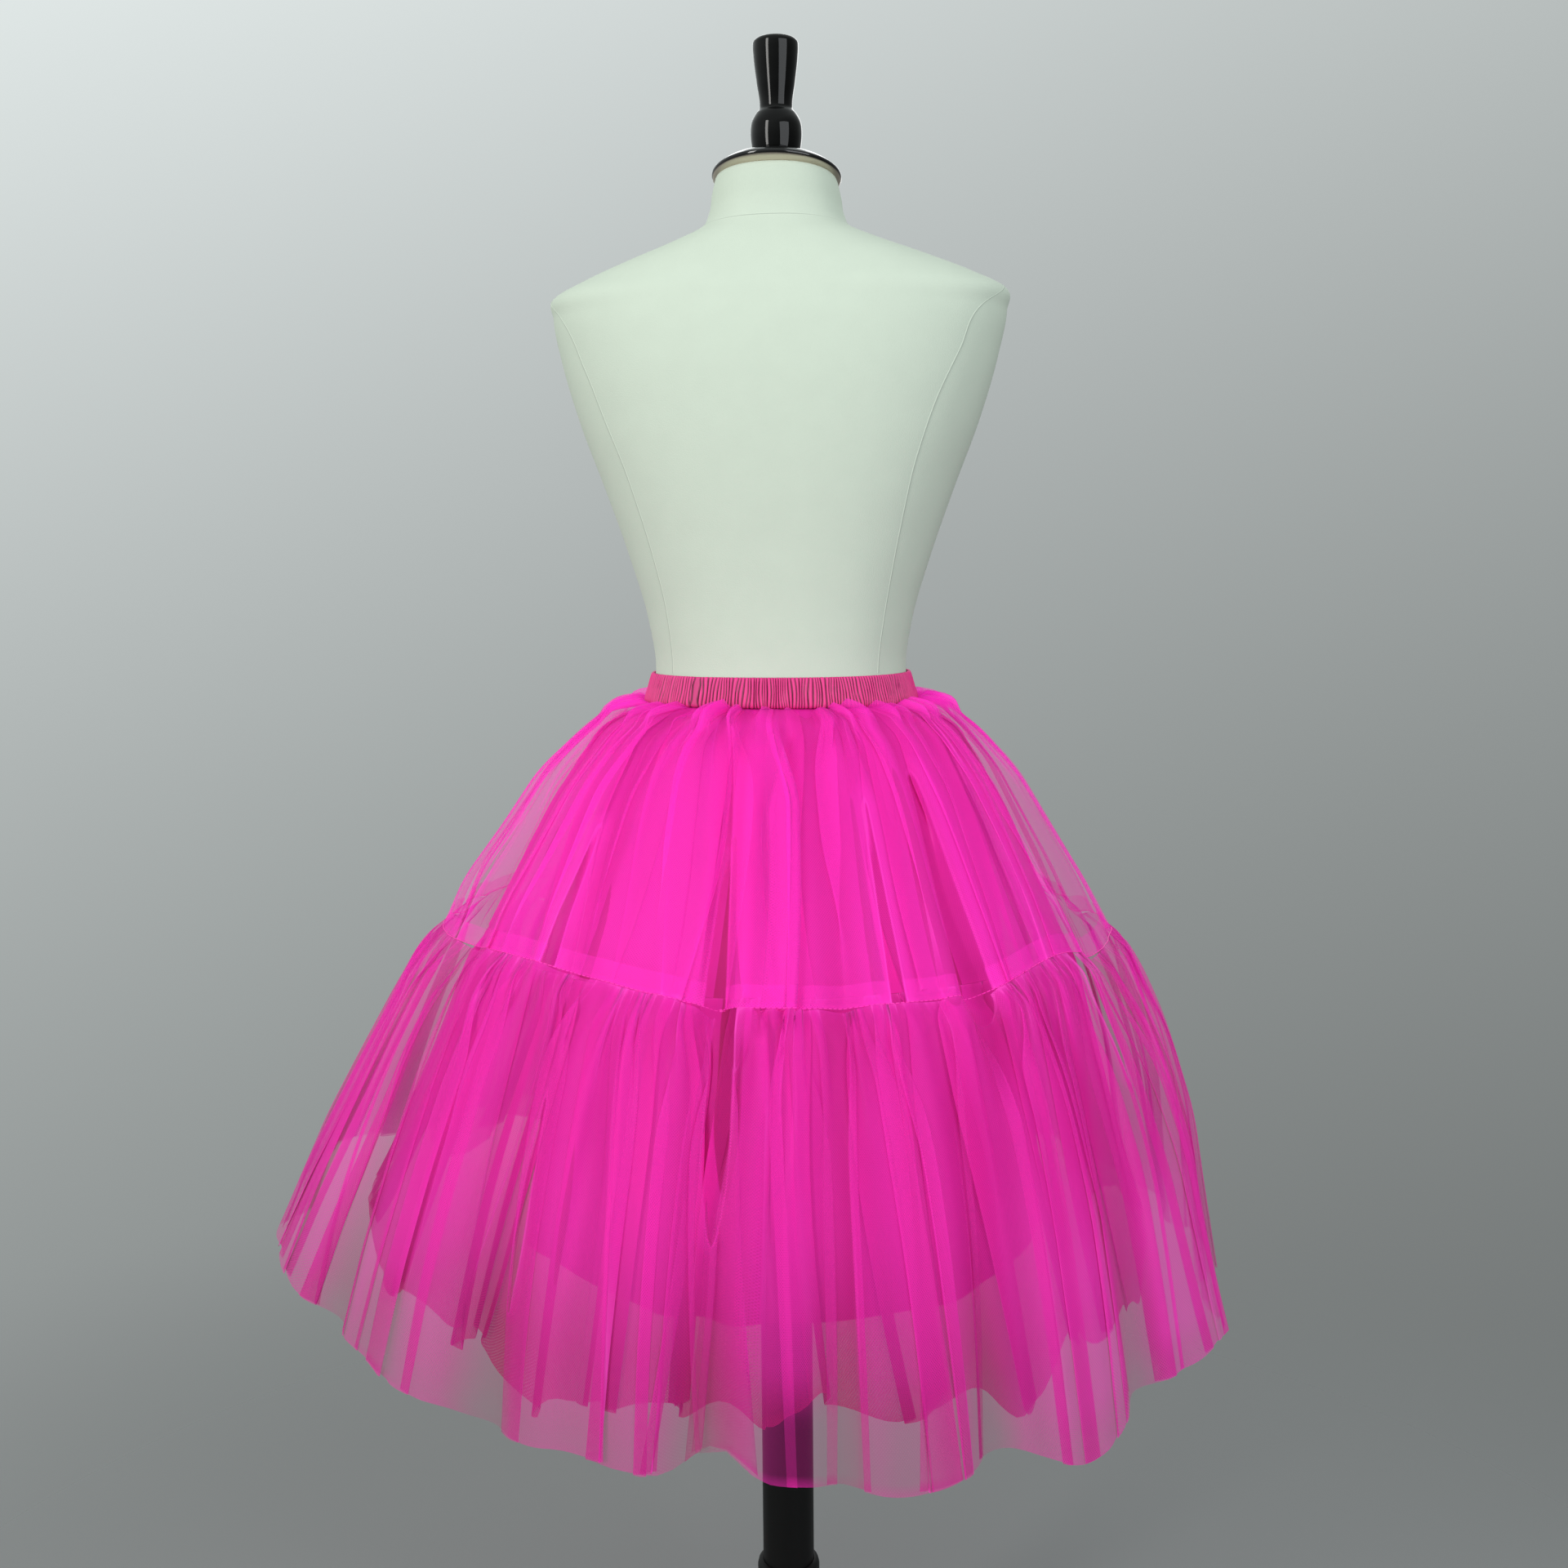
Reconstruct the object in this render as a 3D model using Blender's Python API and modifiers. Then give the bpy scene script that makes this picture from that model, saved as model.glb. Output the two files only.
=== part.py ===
"""Two-tier gathered tulle skirt on a dress form, for Blender 4.5.

Metres, +Z up. The foot of the stand rests on z = 0 and its column stands on the Z axis. The form
shows its back towards -Y. An azimuth is counted from the back, -Y, towards the right, +X.
Every cloth piece is a thin wall through rings, and each ring is a plan shape with folds cut in.
"""
from collections import namedtuple

import bpy
import numpy as np

OBJECT_NAME = "Tulle skirt on dress form"

# Cloth walls, and the gap that is left between pieces that are sewn or stand together
TULLE_WALL = 0.0012
LINING_WALL = 0.0012
BAND_WALL = 0.0036
GAP = 0.0003

# Elastic waistband, and the short straight start of the layers that are sewn inside the outer one
BAND_TOP = 1.0255
BAND_BOTTOM = 1.0000
BAND_FLARE = 0.0012
BAND_RIBS = 50
RIB_DEPTH = 0.0010
INNER_STRAIGHT = 0.0018
LINING_STRAIGHT = 0.0034
FORM_CLEARANCE = 0.0004

# Columns of points round each layer, and the folds that they carry
OUTER_COLUMNS = 160
INNER_COLUMNS = 80
LINING_COLUMNS = 40
BAND_COLUMNS = 2 * BAND_RIBS

# Gathers round each layer, their depths at top and bottom, and where in their round they start
Gathers = namedtuple("Gathers", "count top bottom start")
OUTER_UPPER_GATHERS = Gathers(32, 0.003, 0.010, 0.4)
OUTER_LOWER_GATHERS = Gathers(40, 0.018, 0.018, 1.3)
INNER_UPPER_GATHERS = Gathers(20, 0.002, 0.008, 2.1)
INNER_LOWER_GATHERS = Gathers(20, 0.010, 0.018, 3.0)
LINING_GATHERS = Gathers(10, 0.000, 0.010, 0.9)

# Share of the way down at which a lower tier's folds have opened fully
OUTER_OPENING = 0.30
INNER_OPENING = 0.35

# How far the outside of each layer's top edge stands out from the form, under the band
LINING_SLACK = 0.0002
OUTER_PUFF = 0.0009
LINING_TOP_REACH = FORM_CLEARANCE + LINING_SLACK + LINING_WALL
INNER_TOP_REACH = LINING_TOP_REACH + GAP + TULLE_WALL
OUTER_TOP_REACH = INNER_TOP_REACH + GAP + OUTER_PUFF

# Slow sines round a layer that make its gathers, ribs and hem uneven: waves round, and size
Wave = namedtuple("Wave", "count size")
SPACING_WAVES = (Wave(3, 0.35), Wave(7, 0.25))
DEPTH_MEAN, DEPTH_SWING = 0.80, 0.35
DEPTH_COUNT, DEPTH_SLOW_COUNT = 5, 2
RIB_WAVES = (Wave(24, 0.3), Wave(47, 0.2))
HEM_COUNT, HEM_SLOW_COUNT = 17, 5

# Half widths over the fold crests, by share of the way down a tier
Section = namedtuple("Section", "down left right back front")
OUTER_UPPER_SECTIONS = (
    Section(0.025, 0.153, 0.150, 0.134, 0.132),
    Section(0.120, 0.178, 0.175, 0.162, 0.158),
    Section(0.300, 0.215, 0.208, 0.197, 0.192),
    Section(0.550, 0.247, 0.238, 0.236, 0.230),
    Section(0.800, 0.282, 0.268, 0.270, 0.262),
    Section(1.000, 0.299, 0.288, 0.292, 0.284),
)
OUTER_LOWER_SECTIONS = (
    Section(0.000, 0.299, 0.288, 0.292, 0.284),
    Section(0.040, 0.311, 0.303, 0.306, 0.299),
    Section(0.130, 0.331, 0.317, 0.321, 0.316),
    Section(0.300, 0.355, 0.341, 0.344, 0.340),
    Section(0.520, 0.385, 0.361, 0.367, 0.361),
    Section(0.760, 0.417, 0.371, 0.387, 0.382),
    Section(1.000, 0.444, 0.382, 0.402, 0.400),
)
INNER_UPPER_SECTIONS = (
    Section(0.100, 0.158, 0.155, 0.141, 0.139),
    Section(0.450, 0.205, 0.197, 0.190, 0.187),
    Section(1.000, 0.262, 0.248, 0.252, 0.248),
)
INNER_LOWER_SECTIONS = (
    Section(0.000, 0.262, 0.248, 0.252, 0.248),
    Section(0.100, 0.279, 0.262, 0.268, 0.264),
    Section(0.350, 0.304, 0.279, 0.291, 0.287),
    Section(0.650, 0.336, 0.298, 0.318, 0.314),
    Section(1.000, 0.370, 0.322, 0.346, 0.342),
)
LINING_SECTIONS = (
    Section(0.060, 0.138, 0.138, 0.116, 0.115),
    Section(0.300, 0.183, 0.183, 0.166, 0.164),
    Section(0.650, 0.214, 0.212, 0.204, 0.202),
    Section(1.000, 0.240, 0.236, 0.242, 0.240),
)

# Heights of the seams and hems on the four sides
Edge = namedtuple("Edge", "left right back front")
WAIST_SEAM = Edge(BAND_BOTTOM - GAP, BAND_BOTTOM - GAP, BAND_BOTTOM - GAP, BAND_BOTTOM - GAP)
OUTER_TIER_SEAM = Edge(0.812, 0.800, 0.799, 0.802)
OUTER_HEM = Edge(0.566, 0.500, 0.497, 0.505)
INNER_TIER_SEAM = Edge(0.803, 0.792, 0.796, 0.797)
INNER_HEM = Edge(0.555, 0.528, 0.516, 0.525)
LINING_HEM = Edge(0.545, 0.538, 0.534, 0.540)
OUTER_HEM_WAVE = 0.004
INNER_HEM_WAVE = 0.012

# Places where the outer tier seam rides up: azimuth and half width in degrees, and the rise
Rise = namedtuple("Rise", "azimuth half_width height")
SEAM_RISES = (
    Rise(-42, 38, 0.016),
    Rise(48, 17, 0.015),
    Rise(135, 30, 0.010),
    Rise(-140, 32, 0.009),
)

# Deep folds: azimuth and half width in degrees, and how far they cut in at top and bottom
Fold = namedtuple("Fold", "azimuth half_width top bottom")
OUTER_UPPER_FOLDS = (
    Fold(-58, 7, 0.004, 0.007),
    Fold(-34, 6, 0.006, 0.006),
    Fold(-11, 4, 0.003, 0.013),
    Fold(9, 5, 0.005, 0.007),
    Fold(31, 5, 0.003, 0.015),
    Fold(62, 7, 0.005, 0.007),
    Fold(104, 6, 0.005, 0.010),
    Fold(137, 7, 0.004, 0.011),
    Fold(166, 5, 0.005, 0.009),
    Fold(-163, 6, 0.003, 0.012),
    Fold(-128, 7, 0.005, 0.008),
    Fold(-95, 6, 0.004, 0.009),
)
OUTER_LOWER_FOLDS = (
    Fold(-84, 7, 0.004, 0.020),
    Fold(-57, 6, 0.004, 0.014),
    Fold(-33, 6, 0.005, 0.016),
    Fold(-9, 5, 0.010, 0.014),
    Fold(6, 4, 0.004, 0.010),
    Fold(22, 4, 0.006, 0.014),
    Fold(44, 5, 0.004, 0.015),
    Fold(74, 6, 0.004, 0.018),
    Fold(101, 6, 0.005, 0.014),
    Fold(129, 6, 0.004, 0.017),
    Fold(153, 5, 0.008, 0.012),
    Fold(-176, 6, 0.004, 0.016),
    Fold(-150, 5, 0.006, 0.013),
    Fold(-118, 7, 0.004, 0.018),
)

# Lobes of the outer hem: azimuth and half width in degrees, outward swing and drop at the hem
Lobe = namedtuple("Lobe", "azimuth half_width swing drop")
HEM_LOBES = (
    Lobe(-68, 14, 0.004, 0.004),
    Lobe(-40, 10, 0.004, 0.006),
    Lobe(-7, 6, 0.000, -0.020),
    Lobe(13, 9, 0.004, 0.014),
    Lobe(33, 10, 0.006, 0.022),
    Lobe(60, 11, 0.016, 0.000),
    Lobe(112, 14, 0.008, 0.008),
    Lobe(160, 12, 0.006, 0.010),
    Lobe(-140, 15, 0.008, -0.008),
)

# Form: half width and depths to back and front at each height, and the lean of the neck plate
FormSection = namedtuple("FormSection", "height side back front")
FORM_SECTIONS = (
    FormSection(0.800, 0.140, 0.098, 0.092),
    FormSection(0.812, 0.152, 0.108, 0.099),
    FormSection(0.850, 0.161, 0.116, 0.103),
    FormSection(0.895, 0.157, 0.113, 0.102),
    FormSection(0.940, 0.142, 0.103, 0.097),
    FormSection(0.975, 0.124, 0.0940, 0.0925),
    FormSection(1.000, 0.1140, 0.0900, 0.0900),
    FormSection(1.026, 0.1100, 0.0885, 0.0885),
    FormSection(1.070, 0.1155, 0.090, 0.092),
    FormSection(1.127, 0.1320, 0.096, 0.104),
    FormSection(1.184, 0.1520, 0.103, 0.119),
    FormSection(1.240, 0.1730, 0.107, 0.128),
    FormSection(1.296, 0.1895, 0.106, 0.117),
    FormSection(1.332, 0.1965, 0.100, 0.100),
    FormSection(1.350, 0.1960, 0.094, 0.090),
    FormSection(1.363, 0.1700, 0.086, 0.081),
    FormSection(1.377, 0.1330, 0.076, 0.071),
    FormSection(1.390, 0.0950, 0.066, 0.062),
    FormSection(1.401, 0.0680, 0.0575, 0.056),
    FormSection(1.415, 0.0585, 0.0530, 0.053),
    FormSection(1.431, 0.0555, 0.0515, 0.052),
    FormSection(1.4435, 0.0525, 0.0500, 0.050),
)
FORM_COLUMNS = 40
FORM_TURN = np.radians(8.0)
FORM_SQUARENESS = 2.25
NECK_TILT = 0.185
TILT_START, TILT_END = 1.360, 1.430

# Neck cap: (radius, rise above the neck) down its outer side, level inside and tilted outside
CAP_PROFILE = (
    (0.0210, 0.0249), (0.0270, 0.0240), (0.0380, 0.0178), (0.0535, 0.0084), (0.0556, 0.0066),
    (0.0556, 0.0038), (0.0545, 0.0026), (0.0500, 0.0000),
)
CAP_LEVEL_RADIUS, CAP_TILTED_RADIUS = 0.0270, 0.0470

# Finial, column, collar and foot: (radius, height) down the outer side
FINIAL_PROFILE = (
    (0.0000, 1.5630), (0.0155, 1.5626), (0.0186, 1.5608), (0.0196, 1.5575), (0.0192, 1.5500),
    (0.0166, 1.5290), (0.0140, 1.5090), (0.0142, 1.5065), (0.0180, 1.5020), (0.0212, 1.4950),
    (0.0221, 1.4870), (0.0217, 1.4780), (0.0205, 1.4715), (0.0195, 1.4690), (0.0000, 1.4690),
)
COLUMN_RADIUS = 0.0235
COLUMN_BOTTOM = 0.0700
COLLAR_PROFILE = (
    (0.0250, 0.2010), (0.0275, 0.1990), (0.0285, 0.1950), (0.0285, 0.1610), (0.0275, 0.1570),
    (0.0250, 0.1550),
)
FOOT_PROFILE = (
    (0.0000, 0.0697), (0.0300, 0.0697), (0.0320, 0.0670), (0.0330, 0.0420), (0.0450, 0.0330),
    (0.1000, 0.0240), (0.1650, 0.0180), (0.1770, 0.0150), (0.1800, 0.0100), (0.1800, 0.0030),
    (0.1770, 0.0000), (0.0000, 0.0000),
)
TURNED_STEPS = 20
FOOT_STEPS = 28


def round_the_compass(columns):
    """Azimuths of the columns of a layer, all the way round."""
    return np.arange(columns) * 2 * np.pi / columns


def by_side(azimuth, left, right, back, front):
    """Four sizes blended round the compass by the squares of sine and cosine."""
    side = np.where(np.sin(azimuth) > 0, right, left)
    face = np.where(np.cos(azimuth) > 0, back, front)
    return side * np.sin(azimuth) ** 2 + face * np.cos(azimuth) ** 2


def turn_between(azimuth, centre_degrees):
    """Turn in degrees from the centre to each azimuth, between -180 and 180."""
    return (np.degrees(azimuth) - centre_degrees + 180) % 360 - 180


def swell(azimuth, centre_degrees, half_width):
    """1 at the centre, falling smoothly to 0 at the half width."""
    share = np.clip(np.abs(turn_between(azimuth, centre_degrees)) / half_width, 0, 1)
    return (1 - share**2) ** 2


def gather_depth(azimuth, down, gathers):
    """Nothing on the rounded crest of each gather, and its depth in its narrow valley.

    The phase is bent by slow sines, so that the gathers differ in width, and so do their depths.
    """
    start = gathers.start
    bend = sum(wave.size * np.sin(wave.count * azimuth + (order + 1) * start)
               for order, wave in enumerate(SPACING_WAVES))
    phase = azimuth * gathers.count / (2 * np.pi) + bend
    swing = np.sin(DEPTH_COUNT * azimuth + start) * np.cos(DEPTH_SLOW_COUNT * azimuth - start)
    share = DEPTH_MEAN + DEPTH_SWING * swing
    depth = gathers.top + (gathers.bottom - gathers.top) * down
    return depth * share * (1 - np.abs(np.cos(np.pi * phase)))


def tier_ring(azimuth, radius, height):
    """Points of one ring, as columns of x, y and z."""
    across, along = radius * np.sin(azimuth), -radius * np.cos(azimuth)
    return np.column_stack([across, along, np.broadcast_to(height, azimuth.shape)])


def closed_grid(name, rings, caps):
    """A mesh through rings that are closed round, joined end to end or closed with caps."""
    rows, columns = len(rings), len(rings[0])
    points = [tuple(point) for ring in rings for point in ring]
    last = rows - 1 if caps else rows
    faces = []
    for row in range(last):
        upper, lower = row * columns, (row + 1) % rows * columns
        for here in range(columns):
            there = (here + 1) % columns
            faces.append((upper + here, lower + here, lower + there, upper + there))
    if caps:
        faces.append(tuple(range(columns)))
        faces.append(tuple(range((rows - 1) * columns, rows * columns))[::-1])
    mesh = bpy.data.meshes.new(name)
    mesh.from_pydata(points, [], faces)
    mesh.validate()
    return mesh


def wall_normals(rings):
    """Unit normals of a layer, outward, from the steps along its rings and down its columns."""
    along = np.roll(rings, -1, axis=1) - np.roll(rings, 1, axis=1)
    down = np.gradient(rings, axis=0)
    normal = np.cross(down, along)
    return normal / np.linalg.norm(normal, axis=2, keepdims=True)


def halves(upper, lower, here, there, from_upper):
    """A square as two triangles, cut from its upper left corner or from its lower left one."""
    corners = (upper + here, lower + here, lower + there, upper + there)
    if from_upper:
        return [corners[:3], (corners[0], *corners[2:])]
    return [(*corners[:2], corners[3]), corners[1:]]


def wall_grid(name, outside, inside):
    """A mesh of a thin closed wall, given as the rings of its two faces from top to bottom.

    Squares that face each other are cut along the same diagonal, the shorter one of the outside
    square, so the two faces never cross.
    """
    rows, columns = outside.shape[:2]
    points = np.concatenate([outside, inside]).reshape(-1, 3)
    faces = []
    for here in range(columns):
        there = (here + 1) % columns
        for row in range(rows - 1):
            upper, lower, behind = row * columns, (row + 1) * columns, rows * columns
            one = np.linalg.norm(outside[row, here] - outside[row + 1, there])
            other = np.linalg.norm(outside[row + 1, here] - outside[row, there])
            cut = halves(upper, lower, here, there, one < other)
            faces += cut + [[behind + corner for corner in face[::-1]] for face in cut]
        for row, turned in ((0, False), (rows - 1, True)):
            upper, lower = row * columns, (rows + row) * columns
            rim = (upper + here, upper + there, lower + there, lower + here)
            faces.append(rim[::-1] if turned else rim)
    mesh = bpy.data.meshes.new(name)
    mesh.from_pydata([tuple(point) for point in points], [], faces)
    mesh.validate()
    return mesh


def cloth_wall(name, rings, thickness, level_end):
    """A closed wall: the rings, and the same rings moved inwards by the thickness.

    level_end keeps the bottom edge's cut level, so that the next tier can meet it.
    """
    rings = np.array(rings)
    normal = wall_normals(rings)
    if level_end:
        normal[-1, :, 2] = 0
        normal[-1] /= np.linalg.norm(normal[-1], axis=1, keepdims=True)
    return wall_grid(name, rings, rings - thickness * normal)


def join(collection, name, mesh, material):
    mesh.materials.append(material)
    mesh.polygons.foreach_set("use_smooth", [True] * len(mesh.polygons))
    made = bpy.data.objects.new(name, mesh)
    collection.objects.link(made)
    return made


def edge_height(azimuth, edge, rises=()):
    """Height of a seam or hem, with the places where it rides up."""
    lift = sum(rise.height * swell(azimuth, rise.azimuth, rise.half_width) for rise in rises)
    return by_side(azimuth, *edge) + lift


def tier_rings(sections, top, bottom, columns, depth_at):
    """Rings of a tier, from its sections, the heights of its edges and the depth of its folds."""
    azimuth = round_the_compass(columns)
    rings = []
    for down, *half_widths in sections:
        radius = by_side(azimuth, *half_widths) - depth_at(azimuth, down)
        rings.append(tier_ring(azimuth, radius, top + (bottom - top) * down))
    return rings


def waist_ring(columns, reach, drop=0.0):
    """The top edge of a layer, sewn under the band, or the same ring a little lower down."""
    azimuth = round_the_compass(columns)
    radius = form_radius(azimuth, BAND_BOTTOM - drop) + reach
    return tier_ring(azimuth, radius, WAIST_SEAM.back - drop)


def deep_folds(azimuth, down, table):
    """Depth of the single deep folds at one share of the way down."""
    cut = np.zeros_like(azimuth)
    for fold in table:
        depth = fold.top + (fold.bottom - fold.top) * down
        cut += depth * swell(azimuth, fold.azimuth, fold.half_width)
    return cut


def outer_upper_depth(azimuth, down):
    folds = deep_folds(azimuth, down, OUTER_UPPER_FOLDS)
    return gather_depth(azimuth, down, OUTER_UPPER_GATHERS) + folds


def outer_lower_depth(azimuth, down):
    """The upper tier's folds at the seam, which give way to the lower tier's own."""
    opening = min(1.0, down / OUTER_OPENING)
    own = gather_depth(azimuth, down, OUTER_LOWER_GATHERS)
    own += deep_folds(azimuth, down, OUTER_LOWER_FOLDS)
    swing = sum(lobe.swing * swell(azimuth, lobe.azimuth, lobe.half_width) for lobe in HEM_LOBES)
    return opening * own + (1 - opening) * outer_upper_depth(azimuth, 1.0) - down**2 * swing


def inner_upper_depth(azimuth, down):
    return gather_depth(azimuth, down, INNER_UPPER_GATHERS)


def inner_lower_depth(azimuth, down):
    opening = min(1.0, down / INNER_OPENING)
    own = gather_depth(azimuth, down, INNER_LOWER_GATHERS)
    return opening * own + (1 - opening) * inner_upper_depth(azimuth, 1.0)


def lining_depth(azimuth, down):
    return gather_depth(azimuth, down, LINING_GATHERS)


def drop_hem(ring, down, wave_depth, seed):
    """Lets the hem hang unevenly: the lobes' drops and a small wave."""
    azimuth = np.arctan2(ring[:, 0], -ring[:, 1])
    drop = sum(lobe.drop * swell(azimuth, lobe.azimuth, lobe.half_width) for lobe in HEM_LOBES)
    wave = wave_depth * np.sin(HEM_COUNT * azimuth + seed) * np.cos(HEM_SLOW_COUNT * azimuth)
    ring[:, 2] -= down**3 * (drop + wave)


def make_outer_skirt(collection, tulle):
    azimuth = round_the_compass(OUTER_COLUMNS)
    waist = edge_height(azimuth, WAIST_SEAM)
    seam = edge_height(azimuth, OUTER_TIER_SEAM, SEAM_RISES)
    hem = edge_height(azimuth, OUTER_HEM)
    upper = [waist_ring(OUTER_COLUMNS, OUTER_TOP_REACH)]
    upper += tier_rings(OUTER_UPPER_SECTIONS, waist, seam, OUTER_COLUMNS, outer_upper_depth)
    join(collection, "outer_upper_tier",
         cloth_wall("outer_upper_tier", upper, TULLE_WALL, level_end=True), tulle)
    lower = tier_rings(OUTER_LOWER_SECTIONS, seam - GAP, hem, OUTER_COLUMNS, outer_lower_depth)
    for ring, section in zip(lower, OUTER_LOWER_SECTIONS):
        drop_hem(ring, section.down, OUTER_HEM_WAVE, 0.5)
    join(collection, "outer_lower_tier",
         cloth_wall("outer_lower_tier", lower, TULLE_WALL, level_end=False), tulle)


def make_inner_skirt(collection, tulle):
    azimuth = round_the_compass(INNER_COLUMNS)
    waist = edge_height(azimuth, WAIST_SEAM)
    seam = edge_height(azimuth, INNER_TIER_SEAM)
    hem = edge_height(azimuth, INNER_HEM)
    upper = [waist_ring(INNER_COLUMNS, INNER_TOP_REACH),
             waist_ring(INNER_COLUMNS, INNER_TOP_REACH, INNER_STRAIGHT)]
    upper += tier_rings(INNER_UPPER_SECTIONS, waist, seam, INNER_COLUMNS, inner_upper_depth)
    join(collection, "inner_upper_tier",
         cloth_wall("inner_upper_tier", upper, TULLE_WALL, level_end=True), tulle)
    lower = tier_rings(INNER_LOWER_SECTIONS, seam - GAP, hem, INNER_COLUMNS, inner_lower_depth)
    for ring, section in zip(lower, INNER_LOWER_SECTIONS):
        drop_hem(ring, section.down, INNER_HEM_WAVE, 2.2)
    join(collection, "inner_lower_tier",
         cloth_wall("inner_lower_tier", lower, TULLE_WALL, level_end=False), tulle)


def make_lining(collection, satin):
    azimuth = round_the_compass(LINING_COLUMNS)
    waist = edge_height(azimuth, WAIST_SEAM)
    hem = edge_height(azimuth, LINING_HEM)
    rings = [waist_ring(LINING_COLUMNS, LINING_TOP_REACH),
             waist_ring(LINING_COLUMNS, LINING_TOP_REACH, LINING_STRAIGHT)]
    rings += tier_rings(LINING_SECTIONS, waist, hem, LINING_COLUMNS, lining_depth)
    join(collection, "lining", cloth_wall("lining", rings, LINING_WALL, level_end=False), satin)


def make_waistband(collection, satin):
    """Elastic casing: a short tube that flares a little, its outside gathered in uneven ribs."""
    azimuth = round_the_compass(BAND_COLUMNS)
    unevenness = 1 + sum(wave.size * np.sin(wave.count * azimuth) for wave in RIB_WAVES)
    ribs = RIB_DEPTH * (np.arange(BAND_COLUMNS) % 2) * unevenness
    outside, inside = [], []
    for height, flare in ((BAND_TOP, 0.0), (BAND_BOTTOM, BAND_FLARE)):
        inner = form_radius(azimuth, height) + FORM_CLEARANCE
        outer = inner + BAND_WALL + flare - ribs
        outside.append(tier_ring(azimuth, outer, height))
        inside.append(tier_ring(azimuth, inner, height))
    join(collection, "waistband", closed_grid("waistband", outside + inside[::-1], caps=False),
         satin)


def form_size(height):
    """Half width and the two depths of the form at a height, between the named sections."""
    heights = [section.height for section in FORM_SECTIONS]
    return [np.interp(height, heights, [section[column] for section in FORM_SECTIONS])
            for column in (1, 2, 3)]


def form_radius(azimuth, height):
    """Radius of the form at a height: a rounded oval that is flatter than an ellipse."""
    side, back, front = form_size(height)
    azimuth = azimuth + FORM_TURN
    face = np.where(np.cos(azimuth) > 0, back, front)
    power = FORM_SQUARENESS
    across = np.abs(np.sin(azimuth) / side) ** power + np.abs(np.cos(azimuth) / face) ** power
    return across ** (-1 / power)


def form_ring(height):
    """Ring of the form, leaning towards the neck plate near the top."""
    azimuth = round_the_compass(FORM_COLUMNS)
    radius = form_radius(azimuth, height)
    share = np.clip((height - TILT_START) / (TILT_END - TILT_START), 0, 1)
    return tier_ring(azimuth, radius, height + share * neck_lean(azimuth, radius))


def neck_lean(azimuth, radius):
    """Height that the sloping neck plate gains towards the form's back."""
    return NECK_TILT * radius * np.cos(azimuth + FORM_TURN)


def make_form(collection, jersey):
    rings = [form_ring(section.height) for section in reversed(FORM_SECTIONS)]
    join(collection, "form_torso", closed_grid("form_torso", rings, caps=True), jersey)


def make_neck_cap(collection, enamel):
    """Disc that lies on the sloping neck and rises to a level boss under the finial."""
    azimuth = round_the_compass(FORM_COLUMNS)
    neck_top = FORM_SECTIONS[-1].height + GAP
    rings = []
    for radius, rise in CAP_PROFILE:
        lean = np.interp(radius, (CAP_LEVEL_RADIUS, CAP_TILTED_RADIUS), (0, 1))
        height = neck_top + rise + lean * neck_lean(azimuth, radius)
        rings.append(tier_ring(azimuth, radius, height))
    join(collection, "neck_cap", closed_grid("neck_cap", rings, caps=True), enamel)


def turned(collection, name, profile, steps, material, closed=False):
    """A turned piece: a profile in the XZ plane, carried round Z by a Screw modifier."""
    mesh = bpy.data.meshes.new(name)
    edges = [(at, at + 1) for at in range(len(profile) - 1)]
    if closed:
        edges.append((len(profile) - 1, 0))
    mesh.from_pydata([(radius, 0.0, height) for radius, height in profile], edges, [])
    made = bpy.data.objects.new(name, mesh)
    made.data.materials.append(material)
    collection.objects.link(made)
    screw = made.modifiers.new("Turn", "SCREW")
    screw.steps = screw.render_steps = steps
    screw.use_merge_vertices = True
    screw.merge_threshold = 0.0001
    screw.use_smooth_shade = True
    return made


def make_stand(collection, enamel):
    turned(collection, "finial", FINIAL_PROFILE, TURNED_STEPS, enamel)
    column_top = FORM_SECTIONS[0].height - GAP
    column = ((0.0, column_top), (COLUMN_RADIUS, column_top), (COLUMN_RADIUS, COLUMN_BOTTOM),
              (0.0, COLUMN_BOTTOM))
    turned(collection, "column", column, TURNED_STEPS, enamel)
    bore = COLUMN_RADIUS + GAP
    inside = ((bore, COLLAR_PROFILE[-1][1]), (bore, COLLAR_PROFILE[0][1]))
    turned(collection, "collar", COLLAR_PROFILE + inside, TURNED_STEPS, enamel, closed=True)
    turned(collection, "foot", FOOT_PROFILE, FOOT_STEPS, enamel)


def material(name, colour, roughness):
    made = bpy.data.materials.new(name)
    made.use_nodes = True
    shader = made.node_tree.nodes["Principled BSDF"]
    shader.inputs["Base Color"].default_value = (*colour, 1.0)
    shader.inputs["Roughness"].default_value = roughness
    made.diffuse_color = (*colour, 1.0)
    return made


def main():
    for old in list(bpy.data.objects):
        bpy.data.objects.remove(old)
    collection = bpy.data.collections.new(OBJECT_NAME)
    bpy.context.scene.collection.children.link(collection)
    tulle = material("hot_pink_tulle", (0.86, 0.030, 0.40), 0.85)
    satin = material("raspberry_satin", (0.62, 0.020, 0.20), 0.55)
    lining = material("hot_pink_lining", (0.75, 0.020, 0.32), 0.60)
    jersey = material("ivory_jersey", (0.72, 0.76, 0.66), 0.90)
    enamel = material("black_enamel", (0.010, 0.011, 0.011), 0.15)
    make_waistband(collection, satin)
    make_outer_skirt(collection, tulle)
    make_inner_skirt(collection, tulle)
    make_lining(collection, lining)
    make_form(collection, jersey)
    make_neck_cap(collection, enamel)
    make_stand(collection, enamel)


main()
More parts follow.
